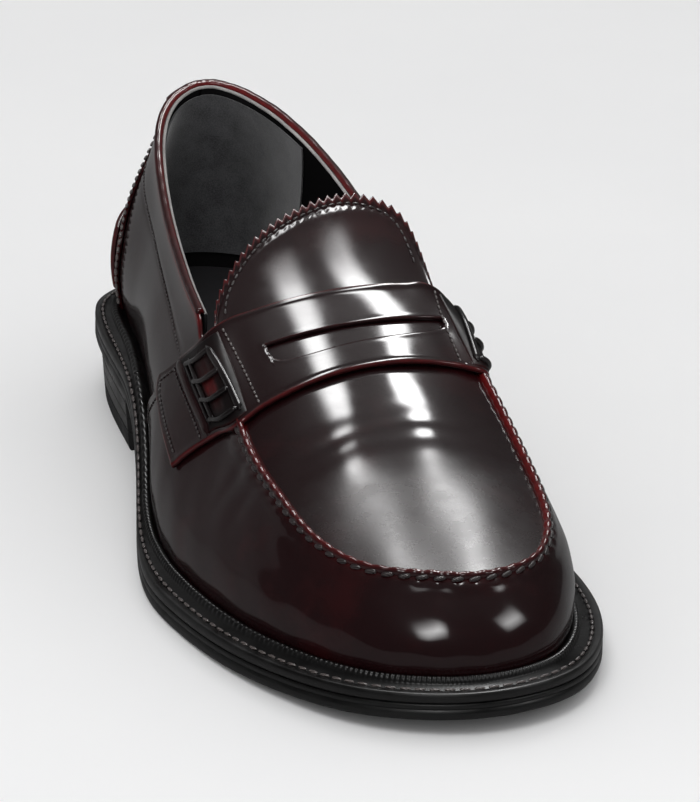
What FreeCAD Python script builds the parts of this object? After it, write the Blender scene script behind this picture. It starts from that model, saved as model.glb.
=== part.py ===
"""Penny loafer, right shoe, men's EU 42.

Frame in millimetres: +X to the wearer's inner (medial) side, -Y to the toe, +Z up.
The origin is the middle of the heel's ground face.  Places along the shoe are also
given as "along", the distance forward from the back of the heel, so Y = HEEL_CENTRE - along.

Every upper piece lies between two offsets of one master surface.  The wall surface runs
round the last; "turn" counts the stations from the heel's back over the outer side, the
toe and the inner side, and "rise" goes from 0 at the welt to 1 at the rim.  The top
surface carries the apron and the tongue.
"""
import FreeCAD
import Part
import math
import os

Vector = FreeCAD.Vector

# ---- driving dimensions (mm) ----
SOLE_LENGTH = 296.0
HEEL_CENTRE = 36.0
HEEL_HEIGHT = 20.4
TOE_SPRING = 5.0
BALL_ALONG = 183.0
HEEL_BREAST = 76.0
OUTSOLE_THICK = 5.0
WELT_THICK = 3.1
LAYER_GAP = 0.1
INSOLE_THICK = 2.5
STORM_RIDGE = 2.2
RIDGE_SPAN = (3.3, 1.4)
WELT_WIDTH_HEEL = 8.5
WELT_WIDTH_WAIST = 5.0
WELT_WIDTH_FOREPART = 9.8
SEAM_LIP = 1.6
TOP_MIDDLE = 5.0
CROWN_START = 105.0
CROWN_STEP = 15.0
THREAD_WIDTH = 0.8
THREAD_THICK = 0.4
THREAD_CLEAR = 0.15
NAIL_RADIUS = 1.2
TACK_RADIUS = 0.9

# ---- layers, as offsets from the master surface (mm, outward is +) ----
OUTER = (-0.75, 0.5)
QUARTER = (-2.15, -1.05)
STIFFENER = (-1.85, -0.95)
VAMP_LINING = (-2.75, -1.95)
COUNTER = (-3.05, -2.25)
QUARTER_LINING = (-4.0, -3.2)
HEEL_GRIP = (-4.85, -4.15)
HEEL_PATCH = (0.65, 1.9)
APRON = (-1.4, 0.0)
APRON_LINING = (-2.4, -1.5)
STRAP = (0.95, 2.25)
BACKING = (0.35, 0.85)

# ---- stations round the shoe: sole edge (along, across), rim (along, across, height) ----
STATIONS = [
    ((0, 1), (9, 6, 96)), ((9, -22), (14.5, -6, 92.5)), ((27, -32.5), (32, -15, 85.5)),
    ((59, -36.5), (61, -21.5, 77)), ((98, -40), (91, -26, 71)), ((137, -49), (121, -29.5, 67)),
    ((160, -55), (146, -30.5, 63)), ((183, -59), (172, -30.5, 55)), ((206, -58), (197, -32, 48)),
    ((235, -52), (222, -30.5, 42.5)), ((260, -42), (243, -27, 39)), ((280, -28.5), (261, -17.5, 36.5)),
    ((292, -11), (270, -3, 36)), ((296, 6), (273, 8, 36.5)), ((293, 23), (271, 20, 37.5)),
    ((282, 39), (263, 31, 38.5)), ((259, 52), (247, 39, 41)), ((230, 58.5), (226, 42.5, 44)),
    ((202, 58.5), (200, 44, 49.5)), ((180, 53.5), (176, 43.5, 58)), ((157, 45), (150, 41.5, 66)),
    ((132, 37), (121, 40, 71)), ((98, 34), (91, 38, 77.5)), ((59, 37.5), (60, 35.5, 84)),
    ((27, 35.5), (31, 29, 90.5)), ((9, 25), (13.5, 18, 95)),
]
TURNS = len(STATIONS)
STRAP_TURNS = {1: (6.05, 7.5), -1: (5.9, 7.14)}  # strap edges at the rim: outer side, inner side

# height of the top surface's middle line, every CROWN_STEP from CROWN_START
CROWN = [107, 95, 82.8, 72, 65.3, 60.4, 56.2, 52.6, 49.2, 45.6, 41.6, 37, 31.5]
# free edge of the tongue (along, across), outer root to inner root
TONGUE_EDGE = [(149.6, -28.5), (140, -25.5), (132, -17), (126.5, -7), (123, 5), (121, 18),
               (123, 30.5), (131, 37.5), (149.6, 39)]


# ---------------------------------------------------------------- small maths
def spline(values, closed=False):
    """Cubic spline through values at 0, 1, 2...; returns a function of the parameter."""
    count = len(values)
    bend = [0.0] * count
    for sweep in range(60):
        for i in range(count):
            if closed or 0 < i < count - 1:
                after = (i + 1) % count
                second = values[i - 1] - 2 * values[i] + values[after]
                bend[i] = (6 * second - bend[i - 1] - bend[after]) / 4

    def value(place):
        i = math.floor(place)
        if not closed:
            i = min(max(i, 0), count - 2)
        far = place - i
        near = 1 - far
        a, b = i % count, (i + 1) % count
        straight = near * values[a] + far * values[b]
        return straight + ((near ** 3 - near) * bend[a] + (far ** 3 - far) * bend[b]) / 6
    return value


def smooth(low, high, x):
    f = min(max((x - low) / (high - low), 0.0), 1.0)
    return f * f * (3 - 2 * f)


def mix(a, b, f):
    return a + (b - a) * f


def place(along, across, height):
    return Vector(across, HEEL_CENTRE - along, height)


sole_along = spline([s[0][0] for s in STATIONS], closed=True)
sole_across = spline([s[0][1] for s in STATIONS], closed=True)
rim_along = spline([s[1][0] for s in STATIONS], closed=True)
rim_across = spline([s[1][1] for s in STATIONS], closed=True)
rim_height = spline([s[1][2] for s in STATIONS], closed=True)
crown_height = spline(CROWN)
tongue_along = spline([p[0] for p in TONGUE_EDGE])
tongue_across = spline([p[1] for p in TONGUE_EDGE])


# ---------------------------------------------------------------- master surfaces
def sole_bottom(along):
    """Height of the outsole's underside: level heel seat, waist, tread line, toe spring."""
    height = HEEL_HEIGHT * (1 - smooth(80, 168, along))
    if along > BALL_ALONG:
        height += TOE_SPRING * ((along - BALL_ALONG) / (SOLE_LENGTH - BALL_ALONG)) ** 2
    return height


def outward(turn):
    """Unit normal of the sole edge in plan, as (along, across)."""
    step = 0.01
    d_along = sole_along(turn + step) - sole_along(turn - step)
    d_across = sole_across(turn + step) - sole_across(turn - step)
    length = math.hypot(d_along, d_across)
    return d_across / length, -d_along / length


def plan_point(turn, inset):
    """Point in plan, inset from the sole edge, as (along, across)."""
    n_along, n_across = outward(turn)
    return sole_along(turn) - n_along * inset, sole_across(turn) - n_across * inset


def welt_width(turn):
    along = sole_along(turn)
    rear = mix(WELT_WIDTH_HEEL, WELT_WIDTH_WAIST, smooth(50, 100, along))
    return mix(rear, WELT_WIDTH_FOREPART, smooth(140, 200, along))


def top_height(along, across):
    """Height of the apron and tongue surface: a cambered saddle, higher on the inner side."""
    tilt = mix(0.09, 0.025, smooth(150, 225, along))
    camber = mix(0.0042, 0.0056, smooth(150, 187, along))
    off = across - TOP_MIDDLE
    return crown_height((along - CROWN_START) / CROWN_STEP) + tilt * off - camber * off * off


def top_point(along, across, offset=0.0):
    step = 0.5
    slope_along = (top_height(along + step, across) - top_height(along - step, across)) / (2 * step)
    slope_across = (top_height(along, across + step) - top_height(along, across - step)) / (2 * step)
    normal = Vector(-slope_across, slope_along, 1).normalize()
    return place(along, across, top_height(along, across)) + normal * offset


def rim_point(turn):
    """Top line at the back, moccasin seam in front, as a point with its seam lip."""
    turn %= TURNS
    along, across = rim_along(turn), rim_across(turn)
    seam = smooth(5.5, 7.5, turn) * (1 - smooth(18.5, 20.5, turn))
    lip = SEAM_LIP * smooth(7.6, 8.3, turn) * (1 - smooth(17.7, 18.4, turn))
    return place(along, across, mix(rim_height(turn), top_height(along, across), seam) + lip)


def wall_middle(turn, rise):
    """Master wall: a cubic from the welt to the rim that bulges outward between."""
    along, across = plan_point(turn, welt_width(turn))
    foot = place(along, across, sole_bottom(along) + OUTSOLE_THICK + WELT_THICK + 0.35)
    rim = rim_point(turn)
    n_along, n_across = outward(turn)
    out = Vector(n_across, -n_along, 0)
    up = Vector(0, 0, rim.z - foot.z)
    toe = smooth(150, 235, rim_along(turn))
    heel = 1 - smooth(15, 60, rim_along(turn))
    low = foot + out * mix(3.0, 7.0, heel) + up * mix(0.42, 0.5, toe)
    high = rim + out * mix(1.0 + 3.0 * heel, 6.0, toe) - up * mix(0.38, 0.25, toe)
    back = 1 - rise
    return (foot * back ** 3 + low * (3 * back * back * rise)
            + high * (3 * back * rise * rise) + rim * rise ** 3)


def wall_point(turn, rise, offset=0.0):
    step = 0.01
    below, above = max(rise - step, 0.0), min(rise + step, 1.0)
    along_wall = wall_middle(turn + step, rise) - wall_middle(turn - step, rise)
    up_wall = wall_middle(turn, above) - wall_middle(turn, below)
    normal = along_wall.cross(up_wall).normalize()
    return wall_middle(turn, rise) + normal * offset


# ---------------------------------------------------------------- solid builders
def surface(rows):
    patch = Part.BSplineSurface()
    patch.interpolate(rows)
    return patch.toShape()


def sewn(faces):
    shell = Part.makeCompound(faces)
    shell.sewShape()
    solid = Part.makeSolid(shell.Shells[0])
    if solid.Volume < 0:
        solid.reverse()
    return solid


def ruled(edge_a, edge_b):
    """Ruled face between two edges, whichever way round the second one does not cross over."""
    turned = edge_b.copy()
    turned.reverse()
    faces = [Part.makeRuledSurface(edge_a, edge_b), Part.makeRuledSurface(edge_a, turned)]
    return min(faces, key=lambda face: face.Area)


def slab(rows_a, rows_b):
    """Solid between two matching grids of points."""
    face_a, face_b = surface(rows_a), surface(rows_b)
    sides = [ruled(a, b) for a, b in zip(face_a.Edges, face_b.Edges)]
    return sewn([face_a, face_b] + sides)


def steps(first, last, count):
    return [mix(first, last, i / (count - 1)) for i in range(count)]


def wall_slab(start, end, bottom, top, layer, columns=28, rows=15):
    """Wall piece.  start and end give the turn at a rise; bottom and top give the rise at a turn."""
    grids = []
    for offset in layer:
        grid = []
        for f in steps(0, 1, columns):
            line = []
            for g in steps(0, 1, rows):
                turn_guess = mix(start(g), end(g), f)
                rise = mix(bottom(turn_guess), top(turn_guess), g)
                turn = mix(start(rise), end(rise), f)
                line.append(wall_point(turn, rise, offset))
            grid.append(line)
        grids.append(grid)
    return slab(*grids)


def rail(points, closed=False):
    """Smooth edge through points, with evenly spaced parameters so that rails match up."""
    curve = Part.BSplineCurve()
    parameters = [float(i) for i in range(len(points) + (1 if closed else 0))]
    curve.interpolate(Points=points, PeriodicFlag=closed, Parameters=parameters)
    return curve.toShape()


def band(corners):
    """Long thin solid.  corners holds the four corner points of each section along it."""
    rails = [rail([section[k] for section in corners]) for k in range(4)]
    faces = [ruled(rails[k], rails[(k + 1) % 4]) for k in range(4)]
    for end in (corners[0], corners[-1]):
        faces.append(ruled(Part.makeLine(end[0], end[1]), Part.makeLine(end[3], end[2])))
    return sewn(faces)


def thread(points_and_normals, width=THREAD_WIDTH):
    """Stitch row: a thin band lying on a surface along a line of (point, normal)."""
    sections = []
    last = len(points_and_normals) - 1
    for i, (point, normal) in enumerate(points_and_normals):
        before = points_and_normals[max(i - 1, 0)][0]
        after = points_and_normals[min(i + 1, last)][0]
        side = (after - before).cross(normal).normalize() * (width / 2)
        low, high = point + normal * THREAD_CLEAR, point + normal * (THREAD_CLEAR + THREAD_THICK)
        sections.append([low - side, low + side, high + side, high - side])
    return band(sections)


def wall_thread(turns_and_rises, offset):
    line = []
    for turn, rise in turns_and_rises:
        outer = wall_point(turn, rise, offset)
        line.append((outer, (outer - wall_point(turn, rise, offset - 1)).normalize()))
    return thread(line)


def plan_face(inset, samples=78):
    """Face bounded by the sole edge, inset by a number or by a function of the turn."""
    points = []
    for i in range(samples):
        turn = TURNS * i / samples
        along, across = plan_point(turn, inset(turn) if callable(inset) else inset)
        points.append(place(along, across, 0))
    return Part.Face(Part.Wire(rail(points, closed=True)))


def profile_block(low, high, first=-5.0, last=SOLE_LENGTH + 5):
    """Block across the shoe whose two faces follow the sole's side profile at two heights."""
    def side(level):
        heights = level if callable(level) else (lambda along: level)
        curve = Part.BSplineCurve()
        curve.interpolate([place(a, -90, sole_bottom(a) + heights(a)) for a in steps(first, last, 60)])
        return curve.toShape()
    bottom, top = side(low), side(high)
    ends = [Part.makeLine(bottom.valueAt(e), top.valueAt(t))
            for e, t in ((bottom.FirstParameter, top.FirstParameter),
                         (bottom.LastParameter, top.LastParameter))]
    wire = Part.Wire(Part.__sortEdges__([bottom, ends[1], top, ends[0]]))
    return Part.Face(wire).extrude(Vector(180, 0, 0))


def plate(inset, low, high, first=-5.0, last=SOLE_LENGTH + 5):
    """Sheet of the sole: a plan outline between two heights over the sole's underside."""
    prism = plan_face(inset).extrude(Vector(0, 0, 120))
    return single(prism.common(profile_block(low, high, first, last)))


def single(shape):
    return max(shape.Solids, key=lambda s: s.Volume)


def feather_inset(extra):
    return lambda turn: welt_width(turn) + extra


# ---------------------------------------------------------------- sole
def sole_loop(inset, level, samples=78):
    """Closed line round the sole, inset from its edge, at a height over the sole's underside."""
    points = []
    for i in range(samples):
        turn = TURNS * i / samples
        along, across = plan_point(turn, inset(turn) if callable(inset) else inset)
        points.append(place(along, across, sole_bottom(along) + level))
    return rail(points, closed=True)


def ring(section):
    """Ring round the sole from a section given as (inset, level) corners in order."""
    loops = [sole_loop(inset, level) for inset, level in section]
    count = len(loops)
    return sewn([Part.makeRuledSurface(loops[k], loops[(k + 1) % count]) for k in range(count)])


def square_ring(outer, inner, low, high):
    return ring([(outer, low), (outer, high), (inner, high), (inner, low)])


WELT_TOP = OUTSOLE_THICK + WELT_THICK
INSOLE_BOTTOM = WELT_TOP + 0.3
INSOLE_TOP = INSOLE_BOTTOM + INSOLE_THICK
PAD_THICK = 3.0
SOCK_THICK = 1.0
LIFT_LEVELS = [0.0, 6.0, 10.8, 15.6, HEEL_HEIGHT]
LIFT_NAMES = ["heel_top_piece", "heel_lift_lower", "heel_lift_middle", "heel_lift_upper"]
HEEL_NAIL_SPAN = (8.0, 24.6)
TACK_SPAN = (0.6, 9.0)


def outsole():
    sole = plate(0.0, 0.0, OUTSOLE_THICK)
    return sole.cut(nail_set(NAIL_RADIUS + 0.05, HEEL_NAIL_SPAN, 13.0))


def welt():
    """Welt with its storm ridge standing up against the upper."""
    low, ridge_top = OUTSOLE_THICK + LAYER_GAP, WELT_TOP + STORM_RIDGE
    outer, inner, under = [feather_inset(-reach) for reach in (RIDGE_SPAN[0], RIDGE_SPAN[1], -6.0)]
    return ring([(0.0, low), (0.0, WELT_TOP), (outer, WELT_TOP), (outer, ridge_top),
                 (inner, ridge_top), (inner, WELT_TOP), (under, WELT_TOP), (under, low)])


def insole_rib():
    return square_ring(feather_inset(6.2), feather_inset(8.2), OUTSOLE_THICK + LAYER_GAP,
                       INSOLE_BOTTOM - LAYER_GAP)


def insole():
    return plate(feather_inset(4.7), INSOLE_BOTTOM, INSOLE_TOP)


def shank_block(grow):
    wide, long_from, long_to = 6.0 + grow, 60.0 - grow, 165.0 + grow
    block = Part.makeBox(2 * wide, long_to - long_from, 60, place(long_to, -wide, 0))
    level = OUTSOLE_THICK + 2 * LAYER_GAP
    return single(block.common(profile_block(level - grow, level + 1.5 + grow)))


def shank():
    return shank_block(0.0)


def cork_filler():
    cork = plate(feather_inset(8.4), OUTSOLE_THICK + LAYER_GAP, INSOLE_BOTTOM - LAYER_GAP)
    return single(cork.cut(shank_block(0.1)))


def heel_pad():
    return plate(feather_inset(6.5), INSOLE_TOP + LAYER_GAP, INSOLE_TOP + PAD_THICK, last=74.0)


def sock_level(above):
    """Height of the sock lining: raised over the heel pad, down on the insole in front of it."""
    raised = PAD_THICK + LAYER_GAP
    return lambda along: INSOLE_TOP + LAYER_GAP + raised * (1 - smooth(76, 98, along)) + above


def sock_lining():
    return plate(feather_inset(5.4), sock_level(0.0), sock_level(SOCK_THICK))


def heel_lift(level):
    """One layer of the heel stack, tapering inwards to the ground, with a hollow breast."""
    low, high = LIFT_LEVELS[level], LIFT_LEVELS[level + 1] - LAYER_GAP
    inset = mix(3.2, 1.6, high / HEEL_HEIGHT)
    block = plan_face(inset).extrude(Vector(0, 0, high - low))
    block.translate(Vector(0, 0, low))
    breast_radius = 95.0
    breast = Part.makeCylinder(breast_radius, 60, place(HEEL_BREAST - 4 + breast_radius, 0, -10))
    front = Part.makeBox(300, 400, 60, place(HEEL_BREAST + 400, -150, -10))
    block = single(block.cut(breast).cut(front))
    nails = nail_set(NAIL_RADIUS + 0.05, HEEL_NAIL_SPAN, 13.0)
    tacks = nail_set(TACK_RADIUS + 0.05, TACK_SPAN, 8.0)
    return single(block.cut(nails).cut(tacks))


def nail_set(radius, span, inset):
    """Nails set in a horseshoe round the heel, the given distance inside the sole edge."""
    nails = []
    for turn in (-2.6, -1.6, -0.6, 0.6, 1.6, 2.6):
        along, across = plan_point(turn, inset)
        nails.append(Part.makeCylinder(radius, span[1] - span[0], place(along, across, span[0])))
    return Part.makeCompound(nails)


def welt_stitch():
    """Stitch row half way between the welt's edge and its storm ridge."""
    def inset(side):
        return lambda turn: (welt_width(turn) - RIDGE_SPAN[0] + side * THREAD_WIDTH) / 2
    level = WELT_TOP + THREAD_CLEAR
    return square_ring(inset(-1), inset(1), level, level + THREAD_THICK)


# ---------------------------------------------------------------- wall pieces
def vamp_edge(rise):
    """Rear edge of the vamp wall on the outer side, as a turn."""
    return 4.2 + 0.9 * rise + rise * rise


def behind(extra):
    return lambda rise: vamp_edge(rise) + extra


def mirrored(turn_function):
    return lambda rise: TURNS - turn_function(rise)


def fixed(value):
    return lambda other: value


def under_strap(low):
    """Top edge that drops where the strap and apron close over it, on either side."""
    def top(turn):
        side = min(turn % TURNS, -turn % TURNS)
        return mix(1.0, low, smooth(5.4, 6.0, side))
    return top


def vamp_wall():
    return wall_slab(vamp_edge, mirrored(vamp_edge), fixed(0), fixed(1), OUTER, columns=80)


def quarter_lateral():
    return wall_slab(fixed(0.03), behind(0.45), fixed(0), under_strap(0.92), QUARTER)


def quarter_medial():
    return wall_slab(mirrored(behind(0.45)), fixed(TURNS - 0.03), fixed(0), under_strap(0.92), QUARTER)


def backstay_half_width(rise):
    return mix(2.0, 0.9, smooth(0.3, 0.9, rise))


def backstay():
    return wall_slab(lambda rise: -backstay_half_width(rise), backstay_half_width,
                     fixed(0), fixed(1), OUTER)


def heel_patch():
    return wall_slab(fixed(-1.7), fixed(1.7), fixed(0.07), lambda turn: 0.46 - 0.02 * turn * turn,
                     HEEL_PATCH)


def toe_puff():
    return wall_slab(fixed(9.3), fixed(16.0), fixed(0.02), fixed(0.84), STIFFENER)


def interlining_lateral():
    return wall_slab(behind(0.6), fixed(9.2), fixed(0.02), fixed(0.9), STIFFENER)


def interlining_medial():
    return wall_slab(fixed(16.1), mirrored(behind(0.6)), fixed(0.02), fixed(0.9), STIFFENER)


def vamp_lining():
    return wall_slab(behind(0.6), mirrored(behind(0.6)), fixed(0), fixed(0.9), VAMP_LINING, columns=80)


def heel_counter():
    return wall_slab(fixed(-3.2), fixed(3.2), fixed(0), lambda turn: 0.62 - 0.02 * turn * turn, COUNTER)


def quarter_lining_lateral():
    return wall_slab(fixed(0.03), behind(1.3), fixed(0), under_strap(0.86), QUARTER_LINING)


def quarter_lining_medial():
    return wall_slab(mirrored(behind(1.3)), fixed(TURNS - 0.03), fixed(0), under_strap(0.86), QUARTER_LINING)


def heel_grip():
    return wall_slab(fixed(-2.6), fixed(2.6), fixed(0.12), fixed(0.96), HEEL_GRIP)


def collar_binding():
    sections = []
    for turn in steps(-5.3, 5.3, 60):
        outer, inner = [wall_point(turn, 1, offset) for offset in (QUARTER[1], QUARTER_LINING[0])]
        low, high = Vector(0, 0, 2 * LAYER_GAP), Vector(0, 0, 1.0)
        sections.append([outer + low, inner + low, inner + high, outer + high])
    return band(sections)


# ---------------------------------------------------------------- apron and tongue
def rim_plan(turn, inset):
    """Rim in plan, moved inwards, as (along, across)."""
    step = 0.02
    d_along = rim_along(turn + step) - rim_along(turn - step)
    d_across = rim_across(turn + step) - rim_across(turn - step)
    length = math.hypot(d_along, d_across)
    return rim_along(turn) - inset * d_across / length, rim_across(turn) + inset * d_along / length


def four_sided(rear, front, left, right, offset, columns, rows):
    """Grid on the top surface filling four plan curves, each a function of 0..1."""
    grid = []
    corners = rear(0), rear(1), front(0), front(1)
    for u in steps(0, 1, columns):
        line = []
        for w in steps(0, 1, rows):
            spot = []
            for k in (0, 1):
                edges = mix(rear(u)[k], front(u)[k], w) + mix(left(w)[k], right(w)[k], u)
                twice = mix(mix(corners[0][k], corners[1][k], u), mix(corners[2][k], corners[3][k], u), w)
                spot.append(edges - twice)
            line.append(top_point(spot[0], spot[1], offset))
        grid.append(line)
    return grid


APRON_REAR_TURNS = (6.22, TURNS - 6.07)
APRON_TOE_TURNS = (11.4, 14.8)
TONGUE_ROOT = 150.3
TIP_PLACES = (2.6, 5.6)


def apron_grid(inset, offset):
    rear_out, rear_in = APRON_REAR_TURNS
    toe_out, toe_in = APRON_TOE_TURNS
    a, b = rim_plan(rear_out, inset), rim_plan(rear_in, inset)
    return four_sided(lambda u: (mix(a[0], b[0], u), mix(a[1], b[1], u)),
                      lambda u: rim_plan(mix(toe_out, toe_in, u), inset),
                      lambda w: rim_plan(mix(rear_out, toe_out, w), inset),
                      lambda w: rim_plan(mix(rear_in, toe_in, w), inset),
                      offset, 17, 25)


def apron():
    return slab(apron_grid(1.0, APRON[0]), apron_grid(1.0, APRON[1]))


def apron_lining():
    return slab(apron_grid(4.2, APRON_LINING[0]), apron_grid(4.2, APRON_LINING[1]))


def tongue_spot(where, shrink):
    """Point of the tongue's free edge, drawn in towards the root's middle by a factor."""
    along = TONGUE_ROOT - (TONGUE_ROOT - tongue_along(where)) * shrink
    return along, TOP_MIDDLE + (tongue_across(where) - TOP_MIDDLE) * shrink


def tongue_grid(shrink, offset):
    last = len(TONGUE_EDGE) - 1
    a, b = tongue_spot(0, shrink), tongue_spot(last, shrink)
    return four_sided(lambda u: (mix(a[0], b[0], u), mix(a[1], b[1], u)),
                      lambda u: tongue_spot(mix(TIP_PLACES[0], TIP_PLACES[1], u), shrink),
                      lambda w: tongue_spot(mix(0, TIP_PLACES[0], w), shrink),
                      lambda w: tongue_spot(mix(last, TIP_PLACES[1], w), shrink),
                      offset, 15, 13)


def tongue():
    return slab(tongue_grid(1.0, APRON[0]), tongue_grid(1.0, APRON[1]))


def tongue_lining():
    return slab(tongue_grid(0.86, APRON_LINING[0]), tongue_grid(0.86, APRON_LINING[1]))


def tongue_edge_stitch():
    line = []
    for where in steps(0.15, len(TONGUE_EDGE) - 1.15, 40):
        along, across = tongue_spot(where, 0.9)
        point = top_point(along, across)
        line.append((point, (point - top_point(along, across, -1)).normalize()))
    return thread(line)


# ---------------------------------------------------------------- strap and rolls
TAB_CORNERS = {1: ((4.75, 0.47), (6.4, 0.40)), -1: ((4.65, 0.47), (6.1, 0.40))}


def strap_rim_turn(f, side):
    return mix(STRAP_TURNS[side][0], STRAP_TURNS[side][1], f)


def strap_side(f, down, side):
    """Turn and rise on the tab: f from rear to front edge, down from the rim (0) to its end (1)."""
    rear, front = TAB_CORNERS[side]
    end_turn, end_rise = mix(rear[0], front[0], f), mix(rear[1], front[1], f)
    turn = mix(strap_rim_turn(f, side), end_turn, down)
    return (turn if side > 0 else TURNS - turn), mix(1.0, end_rise, down)


def strap_top(f, u):
    """Plan place on the strap's top: u from the outer seam to the inner seam."""
    a = rim_plan(strap_rim_turn(f, 1), 0.0)
    b = rim_plan(TURNS - strap_rim_turn(f, -1), 0.0)
    bow = 10.0 * u * (1 - u) * mix(-0.2, 1.0, f)
    return mix(a[0], b[0], u) - bow, mix(a[1], b[1], u)


def strap_corner(f, side):
    """Point over the seam, where the strap turns down from the top on to the wall."""
    u = 0.0 if side > 0 else 1.0
    turn, rise = strap_side(f, 0.0, side)
    flat = top_point(*strap_top(f, u), 1.0) - top_point(*strap_top(f, u))
    steep = wall_point(turn, 1.0, 1.0) - wall_point(turn, 1.0)
    return rim_point(turn) + (flat + steep).normalize() * 0.4


STRAP_WALL_KNOTS = 4
STRAP_TOP_KNOTS = 11
STRAP_KNOTS = 2 * STRAP_WALL_KNOTS + STRAP_TOP_KNOTS + 2


def strap_line(f):
    """Three splines for the line along the strap's underside at a fraction from its rear edge."""
    downs = [1.0, 0.75, 0.5, 0.25]
    row = [wall_point(*strap_side(f, down, 1)) for down in downs]
    row.append(strap_corner(f, 1))
    row += [top_point(*strap_top(f, u)) for u in steps(0.08, 0.92, STRAP_TOP_KNOTS)]
    row.append(strap_corner(f, -1))
    row += [wall_point(*strap_side(f, down, -1)) for down in reversed(downs)]
    return [spline([point[k] for point in row]) for k in range(3)]


def strap_spot(f, q, offset):
    """Point at an offset over the strap's line, q counting its knots from the outer tab's end."""
    before, here, after = strap_line(f - 0.02), strap_line(f), strap_line(f + 0.02)
    step = 0.05
    middle = Vector(*[c(q) for c in here])
    along_strap = Vector(*[c(q + step) - c(q - step) for c in here])
    across_strap = Vector(*[b(q) - a(q) for a, b in zip(before, after)])
    return middle + across_strap.cross(along_strap).normalize() * offset


def strap_grid(fractions, places, offset):
    return [[strap_spot(f, q, offset) for q in places] for f in fractions]


def strap():
    fractions, places = steps(0, 1, 9), steps(0, STRAP_KNOTS - 1, 61)
    body = slab(strap_grid(fractions, places, STRAP[0]), strap_grid(fractions, places, STRAP[1]))
    return single(body.cut(slot_tool()))


SLOT_PLACES = (6.35, 15.05)
SLOT_REAR = 0.38
SLOT_DEPTHS = (0.28, 0.16)


def slot_outline(part):
    """Strap fractions of the slot's straight rear and bowed front edge, 0..1 along it."""
    bow = (1 - abs(2 * part - 1) ** 4) ** 0.25
    rear = SLOT_REAR + 0.03 * math.sin(math.pi * part)
    return rear, rear + mix(SLOT_DEPTHS[0], SLOT_DEPTHS[1], part) * bow


def slot_tool():
    """Penny slot: a half-moon, flat at the rear, cut straight down through the strap."""
    parts = [0.5 - 0.5 * math.cos(math.pi * i / 20) for i in range(21)]
    spots = [(slot_outline(part)[0], part) for part in parts]
    spots += [(slot_outline(part)[1], part) for part in parts[-2:0:-1]]
    points = []
    for f, part in spots:
        spot = strap_spot(f, mix(SLOT_PLACES[0], SLOT_PLACES[1], part), 1.0)
        points.append(Vector(spot.x, spot.y, 40))
    return Part.Face(Part.makePolygon(points + points[:1])).extrude(Vector(0, 0, 60))


def slot_backing():
    """Leather sewn under the strap, seen through the slot."""
    fractions, places = steps(0.28, 0.8, 7), steps(5.9, 15.5, 31)
    return slab(strap_grid(fractions, places, BACKING[0]), strap_grid(fractions, places, BACKING[1]))


ROLL_HEIGHT = 2.4
ROLL_START = 2.1
ROLL_END = 4.7
CORD_PLACES = (0.2, 0.42, 0.63, 0.84)
CORD_HALF_WIDTH = 0.035
STITCH_PLACES = (4.85, 5.25)
CORD_THICK = 1.0


def roll_line(f, side, offset, height):
    """Line across the seam over the strap, arched to the roll's height."""
    line = []
    for part in steps(0, 1, 13):
        place_q = mix(ROLL_START, ROLL_END, part)
        arch = height * math.sin(math.pi * mix(0.1, 0.9, part)) ** 0.6
        q = place_q if side > 0 else STRAP_KNOTS - 1 - place_q
        line.append(strap_spot(f, q, STRAP[1] + offset + arch))
    return line


def roll_height(f):
    return ROLL_HEIGHT * math.sin(math.pi * mix(0.25, 0.75, f))


def beefroll(side):
    fractions = steps(0.08, 0.92, 9)
    low = [roll_line(f, side, LAYER_GAP, 0.0) for f in fractions]
    high = [roll_line(f, side, LAYER_GAP, roll_height(f)) for f in fractions]
    return slab(low, high)


def beefroll_cords(side):
    """Cords lying across the roll, as separate bands in one group."""
    cords = []
    for middle in CORD_PLACES:
        fractions = steps(middle - CORD_HALF_WIDTH, middle + CORD_HALF_WIDTH, 4)
        low, high = [[roll_line(f, side, LAYER_GAP + above, roll_height(f)) for f in fractions]
                     for above in (0.1, CORD_THICK)]
        cords.append(slab(low, high))
    return Part.makeCompound(cords)


# ---------------------------------------------------------------- stitch rows
def moc_seam_thread():
    return wall_thread([(turn, 0.9) for turn in steps(7.7, 18.3, 60)], OUTER[1])


def strap_stitch(side):
    line = []
    for f in steps(0.06, 0.94, 9):
        q = mix(STITCH_PLACES[0], STITCH_PLACES[1], f)
        q = q if side > 0 else STRAP_KNOTS - 1 - q
        point = strap_spot(f, q, STRAP[1])
        line.append((point, (point - strap_spot(f, q, 0)).normalize()))
    return thread(line)


def tab_stitch(side):
    return wall_thread([strap_side(f, 0.88, side) for f in steps(0.08, 0.92, 9)], STRAP[1])


def collar_stitch(side):
    line = [(turn, 0.73 - 0.004 * turn) for turn in steps(1.15, 4.6, 16)]
    return wall_thread([(turn if side > 0 else TURNS - turn, rise) for turn, rise in line], QUARTER[1])


def vamp_edge_stitch(side):
    line = [(vamp_edge(rise) + 0.14, rise) for rise in steps(0.05, 0.42, 10)]
    return wall_thread([(turn if side > 0 else TURNS - turn, rise) for turn, rise in line], OUTER[1])


def backstay_stitch(side):
    line = [(side * (backstay_half_width(rise) - 0.1), rise) for rise in steps(0.06, 0.97, 20)]
    return wall_thread(line, OUTER[1])


def pair(name, function):
    return {name + "_lateral": lambda: function(1), name + "_medial": lambda: function(-1)}


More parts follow.
